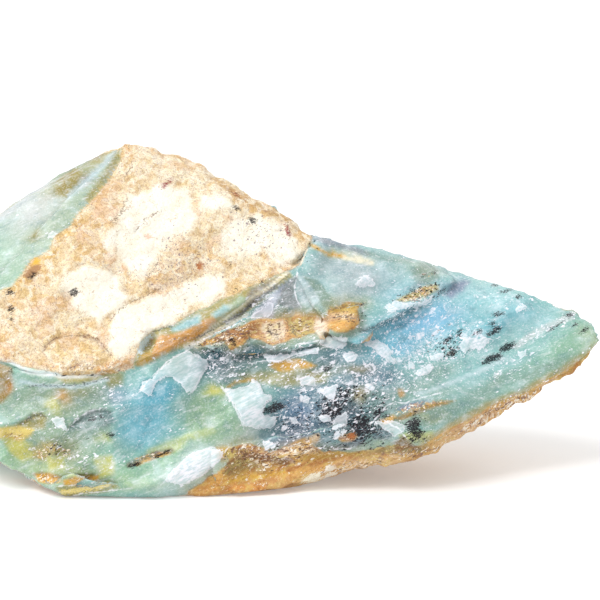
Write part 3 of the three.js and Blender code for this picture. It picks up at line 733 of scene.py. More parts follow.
# ---- soft spots: colour, middle, half lengths, turn in degrees, strength ----
WASHES = [
    ("grey", 105, 392, 20, 9, 0, 0.45), ("mauve", 118, 393, 10, 5, 0, 0.5),
    # facet left of the host rock
    ("mist", 60, 215, 90, 70, -35, 1.0), ("celadon", 20, 272, 44, 30, -30, 0.6),
    ("aqua", 6, 256, 24, 20, 0, 0.6), ("haze", 34, 210, 34, 18, -35, 0.9),
    ("khaki", 108, 154, 26, 12, -30, 1.0), ("mauve", 88, 178, 8, 6, -40, 0.6),
    ("mauve", 96, 156, 14, 5, -25, 0.6), ("olive", 66, 181, 22, 10, -38, 0.9),
    ("mauve", 84, 180, 10, 5, -40, 0.5), ("celadon", 66, 218, 24, 9, -40, 0.9),
    ("lilac", 112, 172, 10, 6, -55, 0.7), ("olive", 37, 236, 8, 4, -20, 0.8),
    ("mint", 12, 280, 20, 10, -30, 0.5),
    # lower left
    ("celadon", 60, 400, 75, 30, 0, 1.0), ("sage", 95, 396, 34, 14, 0, 0.7),
    ("orange", 8, 388, 4, 8, 0, 0.9), ("ochre", 64, 396, 9, 7, 0, 0.9),
    ("lemon", 54, 407, 8, 8, 0, 0.8), ("olive", 80, 392, 14, 6, 0, 0.4),
    ("dusk", 118, 396, 12, 9, -20, 0.7), ("celadon", 60, 445, 80, 26, 0, 0.9),
    ("mint", 4, 458, 20, 22, 30, 0.9), ("olive", 60, 452, 20, 12, 0, 0.7),
    ("lime", 70, 472, 50, 16, 0, 0.85), ("lemon", 103, 440, 9, 5, 0, 0.8),
    ("sage", 80, 462, 24, 6, 0, 0.6), ("mint", 130, 470, 40, 16, 0, 0.7),
    ("lime", 140, 482, 30, 8, 0, 0.5),
    # sky lobe and the faces round it
    ("sky", 150, 410, 33, 36, -20, 1.0), ("deep_sky", 166, 394, 18, 14, -20, 0.8),
    ("sky", 140, 428, 20, 18, 0, 0.8), ("sea", 126, 458, 30, 12, 10, 0.8),
    ("green", 208, 418, 28, 28, -20, 0.9), ("sage", 186, 404, 12, 14, 0, 0.5),
    ("lime", 196, 438, 24, 6, -20, 0.8), ("lemon", 212, 394, 9, 6, 0, 0.8),
    ("mint", 165, 460, 34, 9, -25, 0.8), ("aqua", 236, 434, 24, 12, -20, 0.8),
    ("pearl", 192, 468, 38, 16, -32, 1.0), ("grey_green", 243, 436, 18, 8, -10, 0.5),
    ("pearl", 243, 437, 20, 9, -10, 0.9), ("lemon", 170, 446, 12, 5, -25, 0.6),
    # middle
    # the deep teal under the ledge is partly painted shade below the ledge
    ("slate", 226, 362, 36, 24, 0, 1.0), ("deep_teal", 224, 356, 26, 9, 0, 0.7),
    ("grey_green", 244, 372, 16, 12, 0, 0.6), ("slate", 270, 354, 36, 9, 0, 0.8),
    ("dark_olive", 300, 374, 30, 9, 0, 0.5), ("lemon", 216, 392, 12, 6, 0, 0.6),
    ("slate", 335, 358, 28, 18, 0, 0.9), ("olive", 340, 368, 16, 6, 0, 0.6),
    ("blue_grey", 300, 412, 30, 30, 0, 1.0), ("navy", 294, 428, 24, 18, -20, 0.6),
    ("navy", 346, 410, 38, 30, -15, 1.0), ("blue_grey", 360, 376, 26, 18, -10, 0.8),
    ("dusk", 290, 440, 30, 7, 0, 0.7), ("grey_green", 240, 438, 14, 7, 0, 0.7),
    ("slate", 384, 410, 20, 16, 0, 0.8), ("ink", 334, 409, 13, 9, -35, 0.75),
    ("ink", 363, 428, 14, 10, 20, 0.75), ("ink", 346, 395, 9, 6, -40, 0.5),
    ("ink", 379, 416, 6, 10, 0, 0.5),
    # under the rim and the small facets right of it
    ("grey", 262, 298, 22, 18, -30, 0.8), ("dark_olive", 296, 311, 24, 7, -4, 0.8),
    ("ochre", 304, 316, 24, 4, 0, 0.8), ("olive", 330, 300, 10, 6, 0, 0.5),
    # shoulder and ridge
    ("glacier", 360, 275, 62, 24, 12, 1.0), ("sky", 400, 292, 26, 12, -15, 0.5),
    ("pale_aqua", 420, 280, 40, 14, 8, 0.6), ("grey_green", 425, 270, 18, 6, 8, 0.5),
    ("grey", 421, 284, 12, 4, -20, 0.7), ("glacier", 350, 293, 18, 9, 0, 0.8),
    ("dusk", 454, 286, 18, 6, -35, 0.5), ("mist", 426, 270, 18, 7, 10, 0.8),
    ("dusk", 330, 242, 26, 5, 18, 0.9), ("yellow", 336, 256, 14, 3, 15, 0.8),
    ("cream", 360, 259, 14, 3.5, 15, 0.9), ("teal", 366, 312, 18, 14, 0, 0.8),
    # wing
    ("lagoon", 450, 360, 90, 40, -20, 1.0), ("azure", 420, 324, 56, 22, -18, 1.0),
    ("sky", 380, 344, 26, 16, 0, 0.9), ("deep_sky", 396, 324, 22, 7, -20, 0.5),
    ("pale_aqua", 500, 300, 46, 14, 22, 0.9), ("sky", 500, 322, 40, 12, -20, 0.7),
    ("pale_aqua", 536, 326, 30, 10, -28, 0.8), ("lagoon", 470, 376, 60, 16, -28, 0.9),
    ("sage", 500, 380, 50, 8, -28, 0.7), ("khaki", 430, 417, 20, 7, -15, 0.7),
    ("teal", 540, 350, 44, 14, -22, 0.8), ("pale_aqua", 520, 356, 40, 7, -28, 0.5),
    ("mint", 566, 346, 34, 12, -24, 0.6), ("pale_green", 590, 336, 14, 14, 0, 0.8),
    ("sage", 410, 390, 40, 16, -15, 0.6), ("azure", 400, 346, 16, 8, 0, 0.6),
    ("blue_grey", 380, 376, 22, 12, 0, 0.6), ("grey_green", 440, 372, 24, 7, -20, 0.5),
    ("grey_green", 404, 420, 30, 12, 0, 0.7), ("sage", 440, 396, 26, 10, -20, 0.6),
    ("mustard", 358, 372, 14, 5, 0, 0.5), ("mustard", 358, 394, 8, 7, 0, 0.6),
    ("sage", 540, 372, 40, 7, -28, 0.8),
]

# ---- strokes: colour, half width, strength, run ----
STROKES = [
    ("cream", 1.3, 1.0, [(206, 332), (228, 317), (251, 298), (270, 285), (288, 273)]),
    # painted shadow under the overhanging rim of the host rock
    ("shade", 2.2, 0.95, [(227, 323), (240, 314), (252, 304), (264, 296), (275, 287)]),
    ("haze", 2.2, 0.9, [(186, 348), (206, 337), (226, 327), (248, 315)]),
    ("haze", 5, 0.9, [(-5, 220), (20, 203), (45, 181)]),
    ("ice", 3, 0.8, [(122, 147), (100, 168), (85, 182), (69, 196)]),
    ("olive", 4, 0.8, [(122, 150), (112, 166), (100, 184), (88, 200)]),
    # pale line along the edge of the shelf step at the lower left, partly a painted highlight on that
    # edge
    ("ice", 2, 0.8, [(20, 380), (45, 386), (74, 387), (108, 381)]),
    ("lime", 4, 0.6, [(150, 452), (180, 441), (212, 430)]),
    ("dark_olive", 3, 0.8, [(128, 466), (150, 456), (171, 449)]),
    ("gold", 1.6, 0.9, [(138, 465), (155, 458), (170, 452)]),
    ("mustard", 2, 0.8, [(228, 387), (237, 382), (254, 380)]),
    ("haze", 3.5, 0.6, [(516, 346), (530, 336), (552, 324), (572, 315)]),
    # dark teal line below the step on the shoulder, partly painted shade under the step
    ("deep_teal", 3, 0.7, [(360, 331), (375, 327), (390, 320), (406, 313), (420, 305)]),
    ("ice", 2.5, 0.6, [(416, 394), (440, 387), (470, 375), (506, 358)]),
    ("smoke", 3, 0.8, [(306, 237), (325, 241), (345, 248), (368, 254)]),
    ("grey_green", 3, 0.5, [(368, 254), (390, 259), (410, 262)]),
    ("gold", 2, 0.8, [(304, 240), (314, 248), (326, 253), (344, 257)]),
    ("cream", 2.5, 0.9, [(344, 258), (360, 262), (372, 263)]),
    ("mustard", 5, 0.5, [(424, 445), (452, 426), (490, 406), (521, 394), (559, 374), (592, 351)]),
    ("gold", 2, 0.9, [(424, 447), (452, 428), (490, 408), (521, 396), (559, 376), (592, 353)]),
    # pale haze along the host rock's lower left edge: partly its pale rim, partly painted light over the
    # shadow of the rock's overhang
    ("haze", 3, 0.85, [(-5, 357), (12, 361), (30, 371), (60, 376), (100, 375)]),
]

# ---- washes and strokes of the host rock ----
ROCK_WASHES = [
    ("cream", 206, 186, 28, 13, 35, 0.85), ("cream", 168, 176, 14, 6, 10, 0.7),
    ("cream", 148, 155, 12, 6, 0, 0.6), ("shell", 142, 168, 12, 5, 0, 0.7),
    ("brown", 129, 170, 3, 6, 0, 0.6), ("ochre", 240, 200, 26, 5, 35, 0.6),
    ("pink_tan", 180, 262, 34, 26, -30, 0.9), ("sand", 30, 320, 40, 40, 0, 0.6),
    ("orange", 33, 270, 11, 13, 0, 0.9), ("gold", 35, 262, 7, 5, 0, 0.8),
    ("umber", 32, 275, 5, 5, 0, 0.9), ("brown", 79, 301, 6, 6, 0, 0.8),
    ("rose", 154, 240, 9, 6, 0, 0.7), ("orange", 268, 257, 13, 7, -10, 0.6),
    ("rust", 200, 267, 4, 4, 0, 0.8), ("sand", 74, 354, 44, 14, 0, 0.9),
    ("gold", 62, 358, 18, 7, 0, 0.5), ("plum", 82, 366, 20, 6, 0, 0.5),
    ("orange", 42, 364, 16, 4, 15, 0.8), ("tan", 90, 235, 40, 12, -45, 0.8),
    ("brown", 108, 186, 6, 18, 35, 0.4), ("gold", 125, 172, 5, 14, 20, 0.5),
    ("cream", 250, 235, 30, 20, 0, 0.8), ("cream", 145, 170, 16, 7, 20, 0.7),
    ("cream", 210, 190, 22, 9, 20, 0.6), ("rose", 40, 310, 14, 9, 0, 0.4),
    ("cream", 20, 345, 16, 7, 0, 0.7), ("cream", 75, 322, 14, 9, 0, 0.5),
    ("orange", 116, 180, 3, 3, 0, 0.7), ("gold", 60, 246, 12, 6, -45, 0.6),
    ("cream", 302, 248, 10, 14, 0, 0.8),
]
ROCK_STROKES = [
    ("brown", 1.1, 0.5, [(111, 318), (121, 307), (132, 299), (151, 290), (172, 284), (200, 272)]),
    ("brown", 1.1, 0.5, [(99, 242), (112, 257), (124, 270), (134, 281), (146, 277), (155, 264),
        (162, 250)]),
    ("brown", 1.0, 0.4, [(60, 284), (66, 273), (78, 265), (94, 262), (110, 267), (124, 279),
        (134, 297)]),
    ("ochre", 1.6, 0.5, [(92, 239), (100, 222), (112, 206), (122, 196), (134, 190)]),
    ("brown", 1.0, 0.4, [(222, 240), (225, 226), (232, 215), (240, 208)]),
    ("gold", 6, 0.5, [(119, 168), (97, 200), (74, 226), (56, 250), (34, 262), (14, 290)]),
    ("ochre", 6, 0.7, [(235, 199), (262, 212), (285, 222), (304, 236)]),
    ("brown", 2.5, 0.7, [(205, 172), (222, 183), (236, 195), (262, 209), (290, 221), (306, 236)]),
    ("plum", 2.2, 0.6, [(42, 351), (56, 339), (82, 336), (97, 341), (110, 352)]),
    ("crimson", 2.2, 0.9, [(163, 186), (172, 179)]),
    ("crimson", 1.5, 0.7, [(286, 224), (291, 235)]),
    ("rust", 1.6, 0.8, [(231, 191), (238, 196)]),
    ("crimson", 1.5, 0.6, [(186, 194), (190, 194)]),
    ("orange", 4.5, 0.9, [(100, 372), (116, 366), (130, 360)]),
    # pale haze along the host rock's lower left edge: partly its pale rim, partly painted light over the
    # shadow of the rock's overhang
    ("haze", 4, 0.8, [(-4, 356), (10, 362), (24, 371)]),
]

# ---- washes of the ledge and the crust ----
CRUST_WASHES = [
    ("brown", 225, 340, 22, 8, -15, 1.0), ("rust", 255, 330, 10, 10, 0, 0.8),
    ("pink_tan", 274, 335, 13, 12, 0, 0.95), ("orange", 302, 326, 16, 10, 0, 0.9),
    ("mustard", 342, 309, 16, 5, 0, 0.9), ("umber", 226, 346, 10, 3, -15, 0.8),
    ("brown", 292, 328, 3, 8, -30, 0.8), ("mauve", 344, 317, 14, 3, 0, 0.8),
    ("gold", 345, 326, 14, 7, 0, 0.9), ("rust", 238, 332, 9, 5, -20, 0.7),
    ("bone", 322, 331, 5, 9, 0, 0.9), ("gold", 210, 343, 9, 4, 0, 0.7),
    ("honey", 300, 464, 86, 12, -8, 0.9), ("amber", 250, 476, 30, 8, -8, 0.6),
    ("biscuit", 352, 476, 70, 7, -12, 0.9), ("mustard", 236, 470, 20, 12, 0, 0.5),
    ("olive", 240, 462, 16, 8, -30, 0.6), ("brown", 326, 462, 26, 3, -8, 0.5),
    ("dark_olive", 374, 452, 44, 4, -6, 0.6), ("rust", 250, 456, 18, 5, 5, 0.5),
    ("umber", 279, 462, 13, 5, 10, 1.0), ("umber", 240, 453, 12, 4, 10, 0.7),
    ("umber", 312, 450, 12, 3, -10, 0.7), ("orange", 250, 488, 34, 6, 0, 0.7),
    ("amber", 214, 484, 14, 8, 0, 0.8), ("biscuit", 365, 463, 24, 5, -10, 0.9),
    ("ochre", 404, 456, 34, 6, -10, 0.8), ("brown", 408, 446, 15, 4, 0, 0.9),
    ("dark_olive", 398, 448, 22, 4, -5, 0.7), ("biscuit", 440, 445, 14, 6, -30, 0.8),
    ("ochre", 500, 410, 60, 10, -28, 0.7), ("brown", 470, 424, 20, 4, -28, 0.6),
    ("brown", 520, 396, 40, 3, -28, 0.5), ("ochre", 540, 386, 60, 5, -28, 0.6),
]
CRUST_PATCHES = [
    ("biscuit", 2, 0.9, [(339, 470), (352, 463), (366, 460), (374, 465), (352, 474), (340, 478)]),
    ("biscuit", 1.5, 0.8, [(382, 462), (394, 455), (404, 455), (398, 462), (388, 465)]),
    ("pink_tan", 2, 0.7, [(470, 424), (486, 415), (500, 408), (504, 412), (488, 421), (474, 428)]),
    ("cream", 1.2, 0.65, [(261, 329), (266, 321), (274, 323), (283, 319), (286, 330), (283, 338),
        (273, 343), (266, 337)]),
    ("bone", 2, 0.9, [(314, 322), (322, 318), (327, 324), (326, 337), (319, 340), (315, 331)]),
    ("umber", 2, 0.7, [(234, 330), (248, 324), (261, 322), (258, 334), (244, 338)]),
    ("dark_olive", 2, 0.7, [(226, 474), (232, 464), (240, 456), (246, 459), (238, 468), (230, 477)]),
    ("biscuit", 2, 0.8, [(284, 452), (296, 446), (312, 447), (316, 452), (300, 457), (288, 458)]),
    ("dark_olive", 2, 0.7, [(376, 452), (390, 447), (410, 446), (430, 446), (420, 452), (396, 456)]),
    ("straw", 2, 0.9, [(214, 452), (224, 446), (236, 447), (236, 456), (226, 462), (216, 461)]),
    ("khaki", 2, 0.9, [(288, 320), (312, 317), (315, 332), (300, 336), (290, 334)]),
    ("honey", 2, 0.9, [(330, 322), (345, 322), (358, 318), (358, 325), (350, 331), (334, 330)]),
    ("biscuit", 1.5, 0.9, [(332, 314), (346, 311), (354, 315), (344, 321), (334, 320)]),
    ("dark_gold", 1.5, 0.9, [(330, 308), (346, 303), (364, 304), (354, 309), (336, 311)]),
]
CRUST_STROKES = [
    ("umber", 1.8, 0.85, [(225, 473), (229, 464), (237, 457), (250, 456), (262, 460)]),
    ("umber", 2.5, 0.9, [(262, 462), (272, 459), (281, 460), (287, 464)]),
    ("dark_olive", 5, 0.6, [(234, 470), (246, 465), (262, 468)]),
    ("dark_gold", 4, 0.6, [(290, 459), (315, 457), (340, 455), (362, 453)]),
    ("rust", 1.5, 0.6, [(286, 471), (306, 465), (326, 461), (350, 458)]),
    ("gold", 2, 0.7, [(232, 482), (246, 477), (264, 476), (284, 472)]),
    ("orange", 3, 0.7, [(230, 490), (246, 487), (262, 489)]),
    ("plum", 1.6, 0.6, [(262, 450), (274, 449), (288, 451)]),
    ("umber", 1.5, 0.7, [(326, 449), (345, 451), (366, 450), (384, 447)]),
    ("umber", 3, 0.8, [(398, 448), (406, 443), (415, 449)]),
    ("plum", 1.5, 0.7, [(378, 460), (383, 454)]),
    ("lilac", 2, 0.5, [(285, 459), (293, 461)]),
    ("rust", 1.5, 0.6, [(230, 449), (240, 446), (252, 448)]),
]

# ---- where white and dark specks gather: middle, half lengths, turn, amount ----
FROST = [
    (330, 385, 56, 36, 0, 0.4), (224, 366, 26, 16, 0, 0.4), (420, 352, 52, 26, -20, 0.55),
    (470, 340, 26, 18, -20, 0.6), (410, 318, 40, 14, -18, 0.4), (114, 394, 16, 10, 0, 0.3),
    (80, 462, 34, 12, 0, 0.25), (120, 402, 10, 8, 0, 0.35), (380, 376, 34, 22, 0, 0.6),
    (262, 462, 26, 9, 10, 0.35), (300, 450, 34, 6, 0, 0.4), (350, 468, 40, 7, -12, 0.4),
    (245, 482, 30, 9, 0, 0.1), (500, 412, 60, 6, -28, 0.4), (350, 408, 30, 24, 0, 0.22),
    (262, 306, 14, 14, 0, 0.3), (296, 418, 28, 22, 0, 0.4), (510, 366, 30, 8, -28, 0.3),
    (545, 330, 32, 4, -28, 0.6), (504, 300, 26, 10, 0, 0.2), (60, 440, 40, 20, 0, 0.12),
]
SOOT = [
    (332, 409, 12, 9, -30, 1.5), (362, 428, 15, 11, 20, 1.6), (346, 394, 8, 6, -40, 1.2),
    (379, 414, 7, 13, 0, 1.0), (346, 412, 28, 20, -15, 0.25), (300, 420, 22, 16, 0, 0.12),
    (448, 346, 14, 10, 0, 0.3), (318, 434, 30, 8, 0, 0.15), (414, 430, 9, 12, 0, 0.5),
    (100, 418, 8, 4, 0, 0.2), (60, 448, 12, 6, 0, 0.2), (440, 292, 8, 4, -20, 0.4),
    (230, 337, 18, 8, -15, 0.5), (274, 333, 9, 7, 0, 0.4), (292, 330, 8, 7, 0, 0.35),
    (345, 316, 14, 4, 0, 0.3), (262, 456, 32, 7, 0, 0.4), (310, 450, 34, 5, -5, 0.3),
    (418, 292, 20, 4, -20, 0.3), (82, 369, 22, 5, 0, 0.4), (180, 264, 34, 22, -30, 0.35),
    (258, 236, 30, 18, 20, 0.4),
]
GRIT = [                          # grains of many colours, in opal and in crust
    (58, 449, 15, 8, 0, 1.1), (16, 433, 18, 6, 0, 0.9), (42, 452, 10, 7, 0, 0.9),
    (47, 477, 15, 6, 8, 0.85), (82, 479, 20, 6, 0, 0.75), (30, 421, 12, 5, 0, 0.6),
    (150, 457, 23, 3.5, -23, 1.1), (206, 341, 12, 5, -20, 1.0), (180, 338, 24, 5, -28, 0.7),
    (232, 334, 22, 9, -15, 1.3), (302, 328, 16, 10, 0, 0.9), (344, 318, 16, 6, 0, 0.8),
    (278, 337, 8, 5, 0, 0.7), (256, 457, 26, 6, 5, 0.9), (300, 447, 24, 5, 0, 1.1),
    (250, 448, 30, 4, 0, 1.1), (346, 437, 14, 5, -10, 0.9), (418, 294, 24, 6, -20, 1.2),
    (430, 274, 14, 5, 0, 0.6), (452, 353, 8, 5, 0, 0.8), (420, 408, 36, 5, -14, 1.0),
    (350, 468, 46, 6, -12, 1.0), (420, 452, 40, 6, -10, 1.1), (500, 410, 70, 9, -28, 1.1),
    (82, 368, 24, 5, 0, 1.0), (150, 350, 40, 4, -25, 0.7), (33, 272, 8, 9, 0, 0.8),
    (420, 437, 18, 5, 0, 0.5), (320, 364, 14, 4, 0, 0.4), (216, 484, 14, 6, 0, 0.7),
]

# ---- small relief on the drawn side ----
CLIFFS = [                        # a step down to the right of the run: height, fading length, run
    (0.25, 2.5, [(25, 385), (60, 385), (108, 379)]),
    (0.6, 2.5, [(0, 427), (20, 423), (31, 416), (41, 414), (48, 418)]),
    (0.7, 3, [(64, 430), (76, 420), (88, 412), (100, 409), (116, 411)]),
    (0.4, 4, [(356, 330), (375, 325), (390, 318), (406, 311), (424, 303), (434, 300)]),
    (0.5, 2.5, [(20, 460), (30, 474), (45, 472), (61, 477), (80, 476), (100, 474)]),
    (0.35, 2, [(262, 349), (285, 351), (300, 349), (318, 343)]),
    (0.3, 3, [(110, 372), (150, 352), (180, 337), (215, 318), (250, 297), (288, 270)]),
    (0.25, 2.5, [(250, 318), (270, 297), (293, 274)]),
    (0.25, 2.5, [(294, 274), (304, 290), (312, 306)]),
    (0.2, 3, [(182, 386), (174, 377), (163, 379), (153, 388)]),
]
DISHES = [                        # soft hollows: depth, middle, half lengths, turn
    (0.7, 378, 288, 46, 22, -8), (0.5, 520, 330, 60, 18, -24), (0.4, 62, 402, 44, 14, 0),
    (0.5, 150, 410, 30, 30, -20), (0.35, 208, 420, 22, 24, -20), (0.4, 300, 395, 24, 20, 10),
    (-0.7, 316, 254, 18, 20, 0), (-0.9, 530, 397, 18, 9, -28), (0.5, 496, 412, 16, 8, -20),
]
GROOVES = [                       # depth, half width, run
    (0.3, 3, [(195, 338), (231, 319), (272, 289)]),
    (0.35, 2.2, [(42, 350), (56, 338), (82, 335), (97, 341), (112, 354), (107, 361)]),
    (0.3, 2.5, [(111, 317), (131, 302), (151, 292), (172, 286), (200, 274)]),
    (0.25, 2.5, [(159, 262), (150, 274), (134, 280), (112, 256), (100, 242)]),
    (0.25, 2, [(60, 282), (72, 268), (92, 263), (110, 268), (124, 280), (134, 297)]),
    (0.3, 2.5, [(327, 446), (345, 443), (361, 445)]),
    (0.1, 2, [(141, 352), (147, 343), (153, 338)]),
    (0.25, 2, [(331, 307), (347, 306), (364, 305)]),
]


def ellipse(spot, x, y, half_x, half_y, turn):
    """How many half lengths spots lie from the middle of an ellipse."""
    angle = math.radians(turn)
    dx, dy = (spot - (x, y)).T
    along = dx * math.cos(angle) + dy * math.sin(angle)
    across = dy * math.cos(angle) - dx * math.sin(angle)
    return np.hypot(along / half_x, across / half_y)


def dye(tint, name, weight):
    return tint + (linear(name) - tint) * weight[:, None]


def dyed(tint, layers):
    """The tint with colours laid on, each with a weight for every point."""
    for name, weight in layers:
        tint = dye(tint, name, weight)
    return tint


def washed(tint, spot, washes):
    for name, *shape, strength in washes:
        tint = dye(tint, name, strength * np.exp(-ellipse(spot, *shape) ** 2))
    return tint


def patched(tint, spot, patches):
    for name, soft, strength, outline in patches:
        tint = dye(tint, name, strength * smooth(-soft, soft, inside(spot, outline)))
    return tint


def stroked(tint, spot, strokes):
    for name, width, strength, run in strokes:
        gap, _, _ = nearest_on_line(spot, run)
        fade = smooth(STROKE_FULL * width, STROKE_END * width, gap)
        tint = dye(tint, name, strength * (1 - fade))
    return tint


def painted(tint, drawing, washes, patches, strokes):
    """The tint with all that the drawing's washes, patches and strokes put on it."""
    tint = washed(tint, drawing.loose, washes)
    tint = patched(tint, drawing.tight, patches)
    return stroked(tint, drawing.tight, strokes)


def gathered(spot, places):
    """The largest of several soft spots."""
    amount = np.zeros(len(spot))
    for *shape, strength in places:
        amount = np.maximum(amount, strength * np.exp(-ellipse(spot, *shape) ** 2))
    return amount


def nearest_outline(spot, outlines):
    """How far spots lie inside the nearest of several outlines, in millimetres."""
    return np.max([inside(spot, outline) for outline in outlines], axis=0) / PIXELS_PER_MM


def nearest_run(spot, runs):
    """Signed distance to the nearest of several runs of lines, in millimetres."""
    least = np.full(len(spot), np.inf)
    signed = np.zeros(len(spot))
    for run in runs:
        gap, side, _ = nearest_on_line(spot, run)
        signed = np.where(gap < least, side * gap / PIXELS_PER_MM, signed)
        least = np.minimum(least, gap)
    return signed


# ---- the surface ----
points, quads = stone_surface()
normals = vertex_normals(points, quads)
middle = points.mean(axis=0)
# faces are turned outward if the grid made them look inward
if np.mean(np.sum(normals * (points - middle), axis=1)) < 0:
    quads = quads[:, ::-1].copy()
points = relaxed(points, quads, POINT_ROUNDS)
points[:, 2] = np.maximum(points[:, 2], 0)
normals = vertex_normals(points, quads)
push_way = relaxed(normals, quads, NORMAL_ROUNDS)
push_way /= np.linalg.norm(push_way, axis=1)[:, None]

rock_gap = host_rock_form(points.astype(np.float32)).astype(float)
rock_share = 1 - smooth(*ROCK_FADE, rock_gap)
chipped = CHIP_HEIGHT * (chips(points, **CHIP) - LEVEL)
lumpy = LUMP_HEIGHT * (LEVEL - chips(points, **LUMP))
push = chipped + (lumpy - chipped) * rock_share
bent = sum(
    height * np.sin(2 * math.pi * (points @ unit(runs)) / length + phase)
    for runs, length, height, phase in WAVES
)
calm = smooth(0, CALM_HEIGHT, points[:, 2])
push *= 1 - WING_CALM * smooth(*WING_FADE, points[:, 0])
points = points + DEPTH * (calm * bent)[:, None] + push_way * (calm * push)[:, None]
normals = vertex_normals(points, quads)

# ---- fields that relief and colour share; the last number of each cloud only tells it apart ----
bedded = points @ BEDDING.T
to_eye = EYE - points
facing = np.sum(normals * to_eye, axis=1) / np.linalg.norm(to_eye, axis=1)
front = smooth(*FRONT_FADE, facing)
wobble = np.column_stack([clouds(points, 2.2, 20) - 0.5, clouds(points, 2.2, 30) - 0.5])
under = 5 * (-push_way[:, 2] - CRUST_FACES_DOWN) + 4 * (clouds(bedded, (9, 5, 3), 40) - 0.5)
high_back = np.minimum(points[:, 2] - BACK_ROCK_Z, points[:, 1] - BACK_ROCK_Y)
high_back = np.minimum(high_back, 0.8 * (points[:, 0] - BACK_ROCK_X))
high_back += 7 * (clouds(points, 6, 50) - 0.5)
lobe_edge = 1.6 * (clouds(points, 1.6, 54) - 0.5)
lobe_behind = 7 * (clouds(points, 7, 70) - 0.53)
grain = clouds(points, 0.9, 60, rounds=2) - 0.5
lumps = clouds(points, 2.6, 63, rounds=2) - 0.5
hackle = clouds(bedded, (5, 1.6, 1), 66, rounds=4, roughness=0.65) - 0.5
middle_chips = chips(points + 31, **MIDDLE_CHIP) - LEVEL
fine_chips = chips(points, **FINE_CHIP) - LEVEL
pebbles = LEVEL - chips(points + 7, **PEBBLE)
coarse_behind = 0.3 + 0.6 * smooth(0.4, 0.7, clouds(points, 9, 142))
grit_in_crust = 0.9 * smooth(0.45, 0.75, clouds(points, 6, 130))
grit_in_bands = 0.7 * smooth(0.58, 0.75, clouds(bedded, (6, 2, 2), 134))
smooth_wing = 1 - 0.6 * smooth(14, 24, points[:, 0]) * front


def on_front(behind, ahead):
    """The values ahead where the stone faces the camera, and the values behind elsewhere."""
    share = front[:, None] if ahead.ndim > 1 else front
    return behind + (ahead - behind) * share


def lay_out(spot):
    """What the drawing puts at these spots; outlines as millimetres inside them."""
    d = SimpleNamespace(spot=spot, loose=spot + LOOSE * wobble, tight=spot + TIGHT * wobble)
    d.rock = on_front(high_back, nearest_outline(d.tight, [ROCK_OUTLINE]))
    d.crust = on_front(under, nearest_outline(d.tight, [LEDGE_OUTLINE, CRUST_OUTLINE]))
    d.rock_part = smooth(-0.1, 0.1, d.rock)
    d.crust_part = smooth(-0.1, 0.1, d.crust) * (1 - d.rock_part)
    d.opal_part = (1 - d.rock_part) * (1 - d.crust_part)
    d.lobe = on_front(lobe_behind, nearest_outline(d.loose, LOBES) + lobe_edge)
    d.frost = gathered(spot, FROST)
    d.grit = on_front(d.crust_part * grit_in_crust + grit_in_bands, gathered(d.loose, GRIT))
    return d


def relief_of(d):
    """Heights of the small relief, in millimetres."""
    coarse = on_front(coarse_behind, d.frost)
    raised_lobe = smooth(-0.8, 0.8, d.lobe)
    relief = d.rock_part * (0.4 * grain + 0.5 * lumps + 0.35 * pebbles + 0.25 * raised_lobe)
    relief += d.crust_part * (0.6 * grain + 0.9 * lumps + 0.9 * middle_chips + 0.3 * pebbles)
    relief += d.opal_part * smooth_wing * (0.45 * hackle + middle_chips * (0.2 + 0.55 * coarse))
    relief += d.opal_part * fine_chips * (0.05 + 0.22 * coarse)
    relief += 0.35 * np.minimum(d.grit, 1) * (fine_chips + 0.6 * grain)
    for _, raised, outline in FLAKES:
        relief += FLAKE_RAISE * raised * smooth(-1, 1, inside(d.tight, outline)) * front
    for height, fade, run in CLIFFS:
        gap, side, share = nearest_on_line(d.tight, run)
        gap /= PIXELS_PER_MM
        taper = smooth(0, CLIFF_TAPER, share) * smooth(0, CLIFF_TAPER, 1 - share)
        below = smooth(-CLIFF_EDGE, CLIFF_EDGE, side * gap) * np.exp(-gap / fade)
        relief -= height * taper * below * front
    for depth, *shape in DISHES:
        relief -= depth * np.maximum(0, 1 - ellipse(d.loose, *shape) ** 2) * front
    for depth, width, run in GROOVES:
        gap, _, _ = nearest_on_line(d.tight, run)
        relief -= depth * np.exp(-(gap / width) ** 2) * front
    return relief


# ---- small relief, found twice: the second time for where the first one moved each point ----
still_points = points
drawing = lay_out(drawn(points))
for _ in range(2):
    points = still_points + push_way * (calm * relief_of(drawing))[:, None]
    points[:, 2] = np.maximum(points[:, 2], 0)
    drawing = lay_out(drawn(points))


# ---- colour ----
def all_over(name):
    return np.tile(linear(name), (len(points), 1))


def opal_tint():
    band = clouds(bedded, (16, 5, 5), 80)
    along = points[:, 0] + 16 * (clouds(points, 12, 82) - 0.5)
    tint = dyed(all_over("teal"), [
        ("aqua", 0.7 * smooth(-10, -34, along)),
        ("sky", 0.75 * smooth(-16, 8, along) * smooth(38, 18, along)),
        ("mint", 0.8 * smooth(22, 42, along)),
        ("sky", 0.5 * smooth(0.45, 0.65, band)),
        ("pale_green", 0.6 * smooth(0.5, 0.35, band)),
        ("slate", 0.6 * smooth(0.54, 0.7, clouds(bedded, (9, 4, 4), 84))),
        ("lime", 0.6 * smooth(0.56, 0.72, clouds(bedded, (11, 4, 4), 88))),
        ("ochre", 0.5 * smooth(0.62, 0.74, clouds(bedded, (8, 2.5, 3), 92))),
        ("pearl", 0.7 * smooth(0.56, 0.7, clouds(bedded, (14, 1.6, 1.6), 96))),
    ])
    ahead = dye(tint, "sea", np.full(len(points), 0.8))
    tint = on_front(tint, painted(ahead, drawing, WASHES, PATCHES, STROKES))
    tint = dye(tint, "mustard", 0.3 * smooth(-1.6, -0.1, drawing.crust))
    tint = np.array(OPAL_SHADE) * tint ** OPAL_DEPTH
    # opal made lighter or darker in places, partly painted light and shade
    for *shape, factor in SHADES:
        weight = np.exp(-ellipse(drawing.spot, *shape) ** 2)
        tint *= (1 + (factor - 1) * weight * front)[:, None]
    return tint


